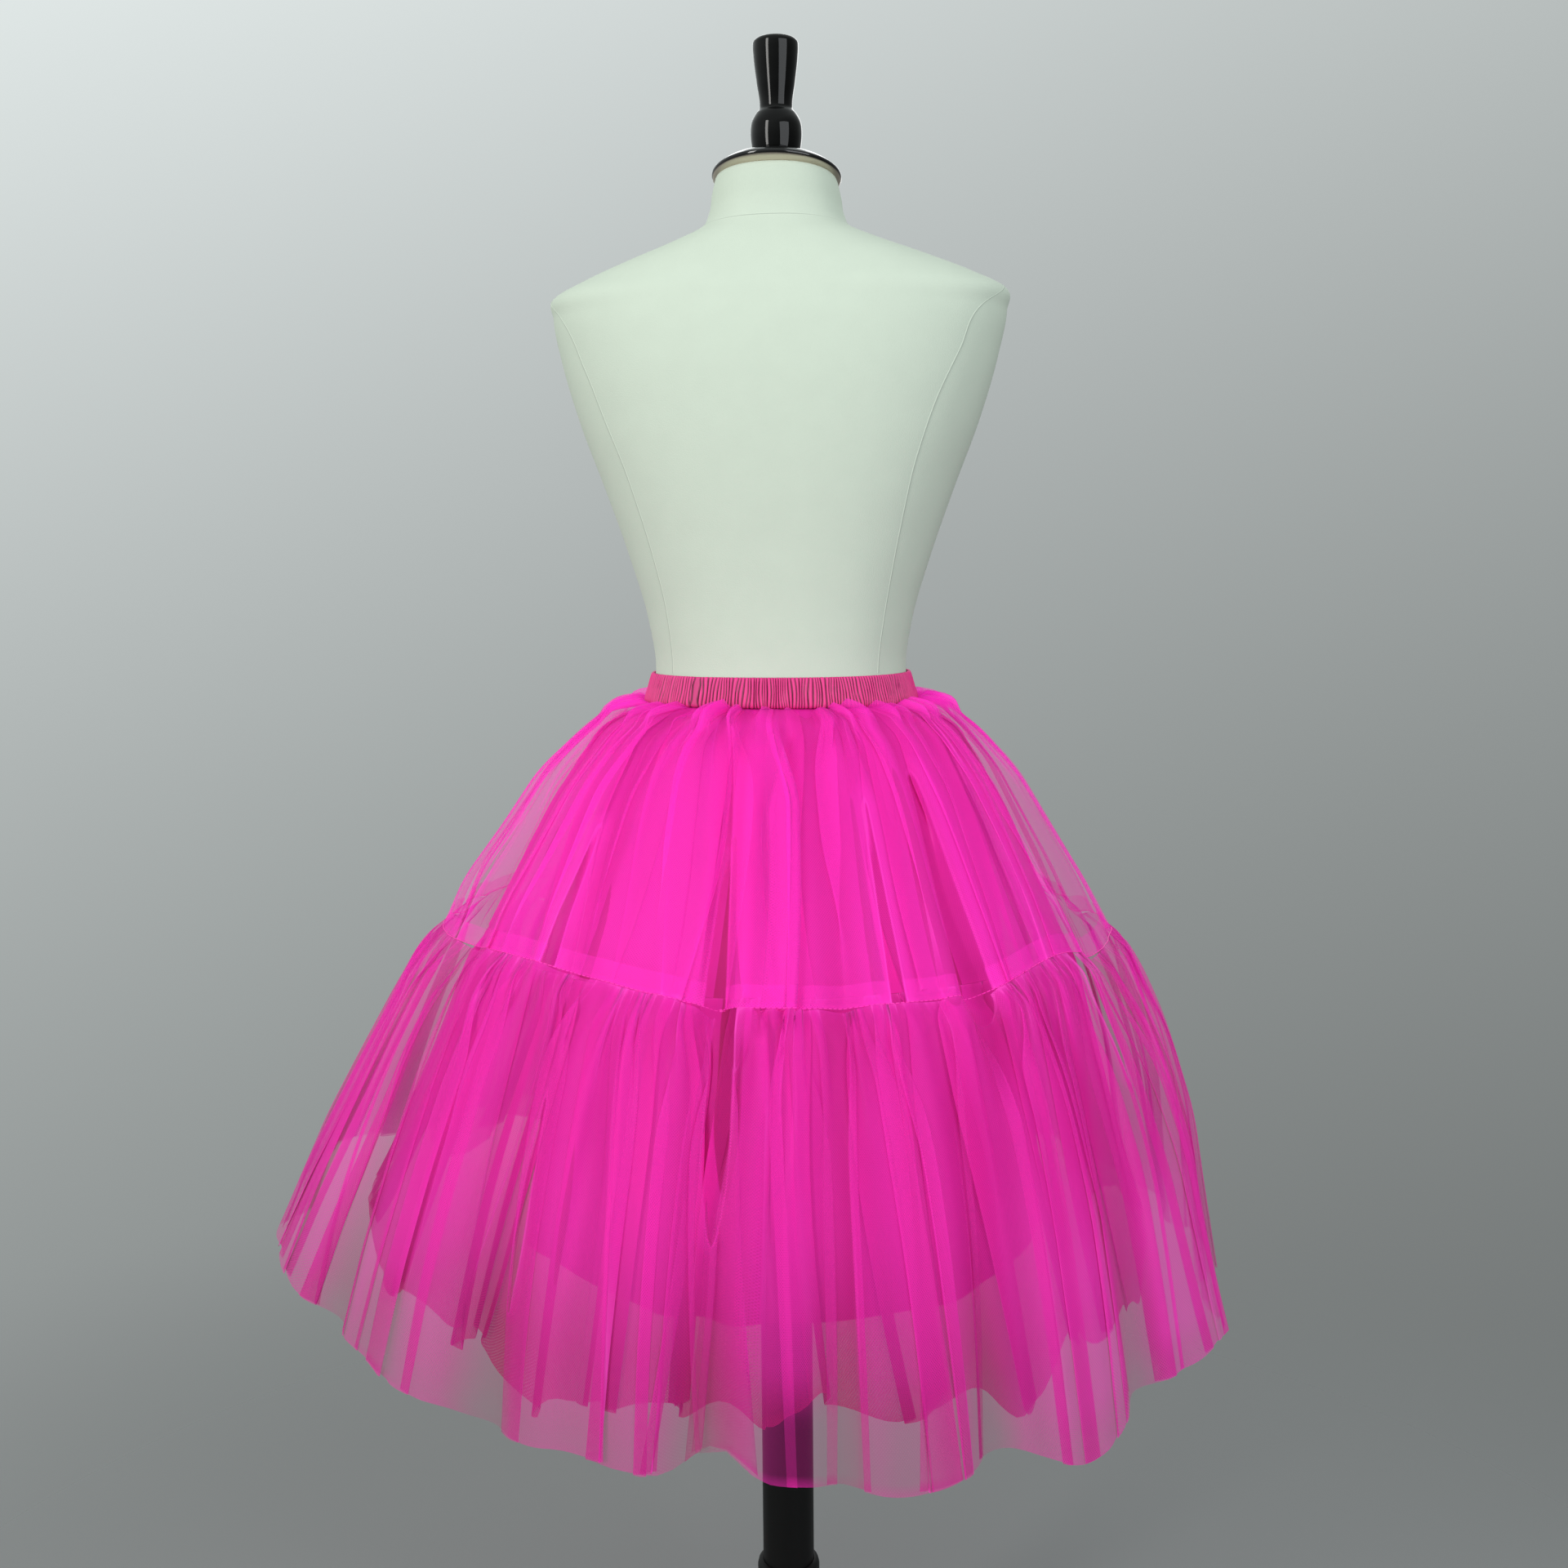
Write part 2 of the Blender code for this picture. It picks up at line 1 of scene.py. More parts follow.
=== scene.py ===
"""Looks of the gathered tulle skirt on its dress form, for Blender 4.5.

Metres, +Z up. The form shows its back towards -Y, and an azimuth is counted from there towards +X.
A cloth is a grid of points: its rows run down from the seam to the hem and its columns along the
cloth's cut width, so a column follows one thread of the net from top to bottom.
"""
from collections import namedtuple
from typing import Callable, NamedTuple

import bpy
import numpy as np
from mathutils import Matrix, Vector


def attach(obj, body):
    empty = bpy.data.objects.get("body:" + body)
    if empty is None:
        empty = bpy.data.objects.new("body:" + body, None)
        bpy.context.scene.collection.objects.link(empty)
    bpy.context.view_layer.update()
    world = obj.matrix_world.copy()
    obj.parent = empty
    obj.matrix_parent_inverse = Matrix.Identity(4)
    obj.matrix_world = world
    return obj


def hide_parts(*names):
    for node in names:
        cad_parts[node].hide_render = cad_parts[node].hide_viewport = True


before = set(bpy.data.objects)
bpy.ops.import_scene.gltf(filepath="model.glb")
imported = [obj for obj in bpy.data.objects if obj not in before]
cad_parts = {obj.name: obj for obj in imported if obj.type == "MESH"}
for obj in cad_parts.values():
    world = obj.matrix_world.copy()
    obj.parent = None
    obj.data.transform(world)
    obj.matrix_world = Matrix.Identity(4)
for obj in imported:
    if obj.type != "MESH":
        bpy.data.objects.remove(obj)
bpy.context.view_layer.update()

# ---------------------------------------------------------------- sizes of the form and the skirt

# Oval of the form at each height, by its radius to a side, to the back and to the front
FormSection = namedtuple("FormSection", "height side back front")
FORM_SECTIONS = (
    FormSection(0.800, 0.140, 0.098, 0.092),
    FormSection(0.812, 0.152, 0.108, 0.099),
    FormSection(0.850, 0.161, 0.116, 0.103),
    FormSection(0.895, 0.157, 0.113, 0.102),
    FormSection(0.940, 0.142, 0.103, 0.097),
    FormSection(0.975, 0.124, 0.0940, 0.0925),
    FormSection(1.000, 0.1140, 0.0900, 0.0900),
    FormSection(1.026, 0.1100, 0.0885, 0.0885),
    FormSection(1.070, 0.1155, 0.090, 0.092),
    FormSection(1.127, 0.1320, 0.096, 0.104),
    FormSection(1.184, 0.1520, 0.103, 0.119),
    FormSection(1.240, 0.1730, 0.107, 0.128),
    FormSection(1.296, 0.1895, 0.106, 0.117),
    FormSection(1.332, 0.1965, 0.100, 0.100),
    FormSection(1.350, 0.1960, 0.094, 0.090),
    FormSection(1.363, 0.1700, 0.086, 0.081),
    FormSection(1.377, 0.1330, 0.076, 0.071),
    FormSection(1.390, 0.0950, 0.066, 0.062),
    FormSection(1.401, 0.0680, 0.0575, 0.056),
    FormSection(1.415, 0.0585, 0.0530, 0.053),
    FormSection(1.431, 0.0555, 0.0515, 0.052),
    FormSection(1.4435, 0.0525, 0.0500, 0.050),
)
# The form's turn on its stand, the power of its ovals, and the neck's slope with the heights between
# which the slope sets in
FORM_TURN = np.radians(8.0)
FORM_SQUARENESS = 2.25
NECK_TILT = 0.185
TILT_START, TILT_END = 1.360, 1.430

FORM_CLEARANCE = 0.0004
BAND_TOP, BAND_BOTTOM = 1.0255, 1.0000
BAND_WALL, BAND_FLARE = 0.0036, 0.0038
# How far the top of each layer stands off the form, below the waistband
LINING_REACH, INNER_REACH, OUTER_REACH = 0.0018, 0.0028, 0.0040

# Plan shape of a tier at each share of the way down, by its radius on four sides
Section = namedtuple("Section", "down left right back front")
OUTER_UPPER_SECTIONS = (
    Section(0.025, 0.153, 0.150, 0.134, 0.132),
    Section(0.120, 0.178, 0.175, 0.162, 0.158),
    Section(0.300, 0.215, 0.208, 0.197, 0.192),
    Section(0.550, 0.247, 0.238, 0.236, 0.230),
    Section(0.800, 0.282, 0.268, 0.270, 0.262),
    Section(1.000, 0.299, 0.288, 0.292, 0.284),
)
OUTER_LOWER_SECTIONS = (
    Section(0.000, 0.299, 0.288, 0.292, 0.284),
    Section(0.040, 0.311, 0.303, 0.306, 0.299),
    Section(0.130, 0.331, 0.317, 0.321, 0.316),
    Section(0.300, 0.355, 0.341, 0.344, 0.340),
    Section(0.520, 0.385, 0.361, 0.367, 0.361),
    Section(0.760, 0.417, 0.371, 0.387, 0.382),
    Section(1.000, 0.444, 0.382, 0.402, 0.400),
)
INNER_UPPER_SECTIONS = (
    Section(0.100, 0.158, 0.155, 0.141, 0.139),
    Section(0.450, 0.205, 0.197, 0.190, 0.187),
    Section(1.000, 0.262, 0.248, 0.252, 0.248),
)
INNER_LOWER_SECTIONS = (
    Section(0.000, 0.262, 0.248, 0.252, 0.248),
    Section(0.100, 0.279, 0.262, 0.268, 0.264),
    Section(0.350, 0.304, 0.279, 0.291, 0.287),
    Section(0.650, 0.336, 0.298, 0.318, 0.314),
    Section(1.000, 0.370, 0.322, 0.346, 0.342),
)
LINING_SECTIONS = (
    Section(0.060, 0.138, 0.138, 0.116, 0.115),
    Section(0.300, 0.183, 0.183, 0.166, 0.164),
    Section(0.650, 0.214, 0.212, 0.204, 0.202),
    Section(1.000, 0.240, 0.236, 0.242, 0.240),
)

# Height of a seam or a hem on four sides
Edge = namedtuple("Edge", "left right back front")
WAIST_SEAM = Edge(0.9997, 0.9997, 0.9997, 0.9997)
OUTER_TIER_SEAM = Edge(0.812, 0.800, 0.799, 0.802)
OUTER_HEM = Edge(0.566, 0.500, 0.497, 0.505)
INNER_TIER_SEAM = Edge(0.803, 0.792, 0.796, 0.797)
INNER_HEM = Edge(0.555, 0.528, 0.516, 0.525)
LINING_HEM = Edge(0.545, 0.538, 0.534, 0.540)
# Depth of each hem's small wave, and where the wave starts
OUTER_HEM_WAVE, INNER_HEM_WAVE = (0.004, 0.5), (0.012, 2.2)

# Places where the seam between the outer tiers rides up. Azimuths and half widths are in degrees.
Rise = namedtuple("Rise", "azimuth half_width height")
SEAM_RISES = (
    Rise(-42, 38, 0.016),
    Rise(48, 17, 0.015),
    Rise(135, 30, 0.010),
    Rise(-140, 32, 0.009),
)

# Single deep folds, by how far each is dented in at the tier's top and at its bottom
Fold = namedtuple("Fold", "azimuth half_width top bottom")
OUTER_UPPER_FOLDS = (
    Fold(-58, 7, 0.004, 0.007),
    Fold(-34, 6, 0.006, 0.006),
    Fold(-10, 3.4, 0.003, 0.015),
    Fold(9, 5, 0.005, 0.007),
    Fold(30.5, 4.0, 0.003, 0.020),
    Fold(62, 7, 0.005, 0.007),
    Fold(104, 6, 0.005, 0.010),
    Fold(137, 7, 0.004, 0.011),
    Fold(166, 5, 0.005, 0.009),
    Fold(-163, 6, 0.003, 0.012),
    Fold(-128, 7, 0.005, 0.008),
    Fold(-95, 6, 0.004, 0.009),
)
OUTER_LOWER_FOLDS = (
    Fold(-84, 7, 0.004, 0.020),
    Fold(-57, 6, 0.004, 0.014),
    Fold(-33, 6, 0.005, 0.016),
    Fold(-9, 5, 0.010, 0.014),
    Fold(6, 4, 0.004, 0.010),
    Fold(22, 4, 0.006, 0.014),
    Fold(44, 5, 0.004, 0.015),
    Fold(74, 6, 0.004, 0.018),
    Fold(101, 6, 0.005, 0.014),
    Fold(129, 6, 0.004, 0.017),
    Fold(153, 5, 0.008, 0.012),
    Fold(-176, 6, 0.004, 0.016),
    Fold(-150, 5, 0.006, 0.013),
    Fold(-118, 7, 0.004, 0.018),
)

# Places where two fold edges stand apart and the inner layer shows between them. Start and end
# are shares of the way down the tier: below 0 or over 1 the opening runs on past its edge.
Opening = namedtuple("Opening", "azimuth start end half_width")
UPPER_OPENINGS = (
    Opening(-66, 0.35, 1.30, 0.0075),
    Opening(-38, 0.30, 1.30, 0.0060),
    Opening(-10.5, 0.30, 1.30, 0.0085),
    Opening(17.0, 0.12, 1.30, 0.0060),
    Opening(31.2, 0.0, 1.30, 0.0120),
    Opening(58, 0.12, 1.30, 0.0060),
    Opening(95, 0.40, 1.30, 0.0055),
    Opening(131, 0.12, 1.30, 0.0065),
    Opening(163, -0.05, 1.30, 0.0110),
    Opening(-158, 0.25, 1.30, 0.0070),
    Opening(-121, -0.05, 1.30, 0.0100),
    Opening(-93, 0.30, 1.30, 0.0060),
)
LOWER_OPENINGS = (
    Opening(-31.5, 0.10, 0.85, 0.0070),
    Opening(-8.5, -9.0, 0.60, 0.0100),
    Opening(31.2, -0.30, 0.08, 0.0125),
    Opening(52, -9.0, 0.40, 0.0060),
    Opening(95, -0.30, 0.08, 0.0100),
    Opening(138, -9.0, 0.50, 0.0060),
    Opening(163, -0.30, 0.08, 0.0120),
    Opening(-150, 0.10, 0.80, 0.0070),
    Opening(-121, -9.0, 0.45, 0.0080),
)

# Lobes of the outer hem, by how far each swings out and how far it hangs down
Lobe = namedtuple("Lobe", "azimuth half_width swing drop")
HEM_LOBES = (
    Lobe(-68, 14, 0.004, 0.004),
    Lobe(-40, 10, 0.004, 0.006),
    Lobe(-7, 6, 0.000, -0.020),
    Lobe(13, 9, 0.004, 0.014),
    Lobe(33, 10, 0.006, 0.022),
    Lobe(60, 11, 0.016, 0.000),
    Lobe(112, 14, 0.008, 0.008),
    Lobe(160, 12, 0.006, 0.010),
    Lobe(-140, 15, 0.008, -0.008),
)

# Places where the net hangs open in wide flat folds, and how much wider they are
Panel = namedtuple("Panel", "azimuth half_width wider")
UPPER_PANELS = (
    Panel(-80, 22, 2.2),
    Panel(-20, 9, 0.8),
    Panel(18, 10, 1.0),
    Panel(78, 22, 2.2),
    Panel(120, 12, 0.8),
    Panel(-150, 12, 0.9),
)
LOWER_PANELS = (
    Panel(-30, 6, 1.4),
    Panel(1, 5, 0.6),
    Panel(11, 5, 0.9),
    Panel(26, 4, 0.8),
    Panel(62, 8, 1.0),
    Panel(84, 16, 2.0),
    Panel(142, 8, 1.0),
    Panel(-172, 7, 1.2),
    Panel(-128, 8, 1.0),
    Panel(-86, 18, 2.0),
)

# Places where the net lies fuller than elsewhere, where it lies thin towards the hem, and where it
# is stretched smooth at the sides, each by how much. LIT_SIDE's hem is lit from the right, so the
# painted shade at the hem is weaker there.
Patch = namedtuple("Patch", "azimuth half_width amount")
FULL_PLACES = (
    Patch(-64, 38, 0.9),
    Patch(46, 30, 1.2),
    Patch(150, 40, 0.6),
)
SHEER_PLACES = (
    Patch(1, 9, 1.0),
    Patch(12, 6, 0.6),
    Patch(-46, 6, 0.5),
    Patch(100, 9, 0.6),
    Patch(-160, 8, 0.6),
)
SHEER_SIDES = (Patch(-86, 28, 0.5), Patch(86, 28, 0.45))
LIT_SIDE = Patch(52, 42, 0.7)

# Cut width of each layer, its folds, the columns and rows it is drawn with, and its puckers
Cloth = namedtuple("Cloth", "cut_width folds columns rows puckers seed panels")
OUTER_UPPER = Cloth(2.20, 58, 1340, 74, 130, 11, UPPER_PANELS)
OUTER_LOWER = Cloth(4.60, 98, 1850, 54, 210, 23, LOWER_PANELS)
INNER_UPPER = Cloth(1.95, 44, 760, 46, 90, 37, ())
INNER_LOWER = Cloth(3.30, 62, 1150, 48, 150, 41, LOWER_PANELS)

# ---------------------------------------------------------------- plan shapes and rows


def points_at(azimuth, radius, height):
    """A grid of points: the radius times the azimuth's sine along X and less its cosine along Y."""
    return np.stack([radius * np.sin(azimuth), -radius * np.cos(azimuth), height], axis=2)


def by_side(azimuth, left, right, back, front):
    """Four sizes blended round the compass by the squares of sine and cosine."""
    side = np.where(np.sin(azimuth) > 0, right, left)
    face = np.where(np.cos(azimuth) > 0, back, front)
    return side * np.sin(azimuth) ** 2 + face * np.cos(azimuth) ** 2


def swell(azimuth, centre_degrees, half_width):
    """1 at the centre, falling smoothly to 0 at the half width: one less the square, squared."""
    turn = (np.degrees(azimuth) - centre_degrees + 180) % 360 - 180
    return (1 - np.clip(np.abs(turn) / half_width, 0, 1) ** 2) ** 2


def line_weights(at, knots):
    """Weights of the values at the knots, for a smooth line drawn through them.

    Each stretch is a Hermite cubic whose end slopes are the centred differences of the values.
    """
    at, knots = np.asarray(at, float), np.asarray(knots, float)
    values = np.eye(len(knots))
    slopes = np.gradient(values, knots, axis=0)
    first = np.clip(np.searchsorted(knots, at, side="right") - 1, 0, len(knots) - 2)
    step = knots[first + 1] - knots[first]
    u = ((at - knots[first]) / step)[:, None]
    step = step[:, None]
    return (
        (2 * u**3 - 3 * u**2 + 1) * values[first]
        + (u**3 - 2 * u**2 + u) * step * slopes[first]
        + (3 * u**2 - 2 * u**3) * values[first + 1]
        + (u**3 - u**2) * step * slopes[first + 1]
    )


CORNER_HALF, CORNER_SPOTS = 0.06, 9


def rounded_weights(at, knots):
    """Weights of the values at the knots, for straight lines between them with rounded corners.

    Each row averages the straight lines over a window that is narrow near the ends.
    """
    values = np.eye(len(knots))
    half = np.minimum(np.minimum(0.3 * at, 1 - at), CORNER_HALF)
    spots = [np.clip(at + half * step, 0, 1) for step in np.linspace(-1, 1, CORNER_SPOTS)]
    return np.mean([[np.interp(spot, knots, row) for row in values] for spot in spots], axis=0).T


def ease(x, start, end):
    """0 before the start, 1 after the end, and a cubic between them that is level at both."""
    share = np.clip((x - start) / (end - start), 0, 1)
    return share * share * (3 - 2 * share)


def oval(azimuth, side, back, front):
    """Radius of a rounded oval that is turned by FORM_TURN.

    It is a superellipse whose size along the back's direction differs from that along the front's.
    """
    azimuth = azimuth + FORM_TURN
    face = np.where(np.cos(azimuth) > 0, back, front)
    power = FORM_SQUARENESS
    across = np.abs(np.sin(azimuth) / side) ** power + np.abs(np.cos(azimuth) / face) ** power
    return across ** (-1 / power)


def form_radius(azimuth, height):
    """Radius of the form at a height, with its sizes on smooth lines through the sections."""
    shape = np.broadcast_shapes(np.shape(azimuth), np.shape(height))
    height = np.broadcast_to(height, shape)
    weights = line_weights(height.ravel(), [section.height for section in FORM_SECTIONS])
    sizes = weights @ np.array([section[1:] for section in FORM_SECTIONS])
    side, back, front = sizes.T.reshape(3, *shape)
    return oval(azimuth, side, back, front)


def neck_lean(azimuth, radius):
    """Height that the sloping neck gains towards the form's back: tilt times radius times cosine."""
    return NECK_TILT * radius * np.cos(azimuth + FORM_TURN)


def section_radius(azimuth, down, sections, waist_reach):
    """Radius of a tier at each point: its sections' plan shapes, on rounded lines down the tier.

    With a waist_reach the tier starts at the form's own plan shape, that much further out.
    """
    knots = [section.down for section in sections]
    plans = [by_side(azimuth, *section[1:]) for section in sections]
    if waist_reach is not None:
        knots = [0.0] + knots
        plans = [form_radius(azimuth, BAND_BOTTOM) + waist_reach] + plans
    weights = rounded_weights(down, knots)
    return sum(weights[:, at, None] * plan for at, plan in enumerate(plans))


HEM_WAVES, HEM_WAVE_GROUPS = 17, 5


def hem_drop(wave_depth, wave_start):
    """How far a hem hangs below its even height: the lobes' drops, and a small wave that comes and goes."""
    def drop(azimuth):
        lobes = sum(lobe.drop * swell(azimuth, lobe.azimuth, lobe.half_width) for lobe in HEM_LOBES)
        wave = np.sin(HEM_WAVES * azimuth + wave_start) * np.cos(HEM_WAVE_GROUPS * azimuth)
        return lobes + wave_depth * wave
    return drop


def no_drop(azimuth):
    """0 at every azimuth, for a hem that hangs even."""
    return 0.0 * azimuth


def no_folds(azimuth, down):
    """0 at every point, for a layer without single deep folds."""
    return 0.0 * azimuth


# ---------------------------------------------------------------- folds

FINE_SAMPLES, COMPASS_STEPS = 8192, 180

# What is left to chance in a tier. Each has its own run of random numbers: the cloth's seed plus this.
SPREADS, LEANS, PUCKERS, QUICK_PUCKERS, RAGS, SWAYS, BACKS, PUFF_SIZES = range(1, 9)
WAVE_SPREAD, WAVE_LIMIT, WAVE_SIZES = 0.35, 1.5, (0.4, 1.3)

# Each fold's width, the part of it that is laid back, and the length over which the cloth turns there
WIDTH_SPREAD, WIDTH_LIMIT, WIDTH_ROUNDS = 0.70, 1.7, 4
BACK_PART = (0.14, 0.38)
TURN_LENGTH, TURN_CROWD = 0.0015, 7.0

# How far the cloth's heading swings, in radians, and how much the folds differ at top and bottom
MOST_HEADING, WIDEST_SWING, SWING_ROUNDS = 2.85, 6.0, 24
OPENED_SPREAD, CLOSED_SPREAD, CLOSED_AT = (0.75, 1.25), (0.65, 1.20), (0.0, 0.9)
QUICK_SHARE, QUICK_BY = 0.5, (0.0, 0.3)

# The path's share of the way round, and the most folds that one of its waves may take up
PATH_SHARE, ALONG_FOLDS, OUT_FOLDS = 0.985, 8, 3

# How the folds lean and drift, and how they stand: behind the crests, or held by the tier above
LEAN_SPREAD, MOST_LEANING, LEANING_BY, DRIFT_POWER = (0.3, 1.4), 0.02, (0.02, 0.35), 1.5
PRESSED_BY, CREST_SHARE, MOST_PROUD = (0.0, 0.10), 0.92, 0.001
HELD_BY, HELD_PART, FINE_RAGS = (0.0, 0.09), 0.95, 0.25

# The soft puffs below the waist: their number, where they rise and fall on the way down, and their lift
PUFFS, MOST_PUFF, PUFF_RISE, PUFF_FALL, PUFF_LIFT = 58, 1.2, (0.0, 0.007), (0.014, 0.075), 0.7

# An opening's edges, and the fan in which the folds leave the waist
CLOSED_BY, CLOSING_LENGTH, OPENING_STARTS, ROLLED_WIDTH = 0.020, 0.3, (0.0, 0.25), 0.012
WAIST_FAN, FAN_FADE = np.radians(7), 2.3

# Painted shade: the parts that valleys, deep folds and puffs have in it, and where each of them counts
VALLEY_SHADE, TOP_VALLEY_SHADE, VALLEY_CRESTS, VALLEY_LEAST = 0.20, 0.18, 2.2, 0.001
DEEP_SHADE, DARKEST_DENT, PUFF_SHADE, MEAN_PUFF = 0.35, 0.014, 55, 0.45
NEAR_TOP, PAINTED_HEM_SHADE_BY = (0.03, 0.26), (0.45, 1.0)

# Crease: how far from edge-on still counts, at the hem and more at the top, and what adds or takes away
EDGE_ON, EDGE_ON_TOP, EDGE_ON_REACH = 0.36, 0.10, 0.12
DEEP_THINNING, THINNEST_DENT, SIDE_THINNING, SHEER_THINNING = 0.9, 0.016, 0.2, 0.7
THINNER_BY, HEM_LINE_BY, HEM_LINE_SEWN, HEM_LINE_FREE = (0.84, 1.0), (0.992, 1.0), 0.1, 0.4
SEAM_CROWD, SEAM_CROWD_REACH = 0.6, 0.010
LOWER_HALF, NEAR_HEM, HEM_LOSS = (0.30, 0.65), (0.88, 1.0), 0.5
SHEER_FROM, SHEER_TO = (0.74, 0.88), (0.985, 0.995)
MOST_CREASE = 1.1


class Tier(NamedTuple):
    """A gathered tier: its cloth, rows, plan shapes and edges, then its form and what its net looks like."""

    cloth: Cloth
    down: np.ndarray
    sections: tuple
    # Heights of its two edges at each azimuth, and the depth of its deep folds at each azimuth and row
    top: Callable
    bottom: Callable
    cut_in: Callable
    # How far its top stands off the form, for a tier that hangs from the waist
    waist_reach: float = None
    # The share of the folded path's depth that is kept, at all and at the seam, and the most it comes to
    flat: float = 0.5
    press_top: float = 0.0
    cap: float = 0.008
    # How far the folds lean over, wander sideways by the hem and bend half-way down
    lean: float = 0.8
    drift: float = 0.01
    bend: float = 0.01
    # The puckers' share at the seam, how soon they give way, and how unevenly the cloth runs
    fine: float = 0.6
    fine_reach: float = 0.12
    sway: float = 0.15
    # How far the hem hangs below its even height, and how much that differs by fold
    drop: Callable = no_drop
    ragged: float = 0.0
    # The depth of the tier above at its seam, for a tier that is sewn onto it
    start: Callable = None
    # The height of the puffs below the waist
    puff: float = 0.0
    # More cover in the lower half, less near the hem, and painted shade at the hem
    denser: float = 0.0
    thinner: float = 0.0
    painted_hem_shade: float = 0.0
    openings: tuple = ()
    # How far the folds are turned round the compass, as a share of a turn
    turned: float = 0.0


Folded = namedtuple("Folded", "cloth points looks columns_at last_turn last_stand")


def openness(cloth, ends):
    """How much wider than the others each fold is, by the cloth's open panels."""
    azimuth = np.pi * (ends[1:] + ends[:-1])
    wider = [panel.wider * swell(azimuth, panel.azimuth, panel.half_width) for panel in cloth.panels]
    return sum(wider) + 0 * azimuth


def fold_ends(cloth):
    """Shares of the cut width at which the folds end, with a few folds several times as wide as others.

    A fold's width is the exponential of a normal chance, times one plus its openness.
    """
    chance = np.random.default_rng(cloth.seed).standard_normal(cloth.folds)
    chance = chance.clip(-WIDTH_LIMIT, WIDTH_LIMIT)
    ends = np.linspace(0, 1, cloth.folds + 1)
    for _ in range(WIDTH_ROUNDS):
        widths = np.exp(WIDTH_SPREAD * chance) * (1 + openness(cloth, ends))
        ends = np.concatenate([[0], np.cumsum(widths) / widths.sum()])
    return ends


def fold_value(share, ends, values):
    """One value a fold, changing evenly from the middle of each fold to the next."""
    middles = (ends[1:] + ends[:-1]) / 2
    return np.interp(share, middles, values, period=1)


def laid_back(cloth, share, ends):
    """How far inside its fold's turned-back middle each share lies, in metres, and the fold's side.

    The middle of each fold is laid back over or under the rest. It takes an uneven part of the fold.
    """
    chance = np.random.default_rng(cloth.seed + BACKS)
    part = chance.uniform(*BACK_PART, cloth.folds) / (1 + openness(cloth, ends))
    side = np.where(chance.uniform(0, 1, cloth.folds) < 0.5, -1, 1)
    phase = np.interp(share, ends, np.arange(cloth.folds + 1))
    fold = np.clip(phase.astype(int), 0, cloth.folds - 1)
    inside = (part[fold] / 2 - np.abs(phase - fold - 0.5)) * np.diff(ends)[fold] * cloth.cut_width
    return inside, side[fold]


def cloth_columns(cloth, ends):
    """Shares of the cut width at the columns, which crowd together where the folds turn.

    They lie at even steps of a run that grows faster over each turn, by a squared hyperbolic secant.
    """
    share = np.linspace(0, 1, 4 * FINE_SAMPLES + 1)
    inside, _ = laid_back(cloth, share, ends)
    crowd = 1 + TURN_CROWD / np.cosh(np.clip(inside / TURN_LENGTH, -20, 20)) ** 2
    run = np.concatenate([[0], np.cumsum((crowd[1:] + crowd[:-1]) / 2)])
    return np.interp(np.linspace(0, 1, cloth.columns + 1), run / run[-1], share)


def uneven_waves(share, count, seed):
    """A sine of that many waves round the cloth, with lengths and sizes by chance."""
    chance = np.random.default_rng(seed)
    lengths = np.exp(WAVE_SPREAD * chance.standard_normal(count).clip(-WAVE_LIMIT, WAVE_LIMIT))
    ends = np.concatenate([[0], np.cumsum(lengths) / lengths.sum()])
    size = fold_value(share, ends, chance.uniform(*WAVE_SIZES, count))
    return size * np.sin(2 * np.pi * np.interp(share, ends, np.arange(count + 1)))


def without_drift(line, least_waves):
    """Each line without its long waves: n of them round the cloth keep n⁴ / (n⁴ + least_waves⁴)."""
    waves = np.fft.rfft(line, axis=1)
    count = np.arange(waves.shape[1])
    keep = count**4 / (count**4 + least_waves**4)
    return np.fft.irfft(waves * keep, line.shape[1], axis=1)


def open_places(table, azimuth, depth, radius):
    """How far inside the nearest opening each point lies, in metres: below 0 outside them all.

    An opening is a wedge that widens evenly from its start and closes again before its end.
    """
    parted = 0 * azimuth - CLOSED_BY
    for place in table:
        turn = (azimuth - np.radians(place.azimuth) + np.pi) % (2 * np.pi) - np.pi
        grown = np.clip((depth - place.start) / (min(place.end, 1) - place.start), 0, 1)
        grown = grown * (1 - ease(depth, max(place.end - CLOSING_LENGTH, 0), place.end))
        shut = CLOSED_BY * (1 - ease(grown, *OPENING_STARTS))
        parted = np.maximum(parted, place.half_width * grown - np.abs(turn) * radius - shut)
    return parted


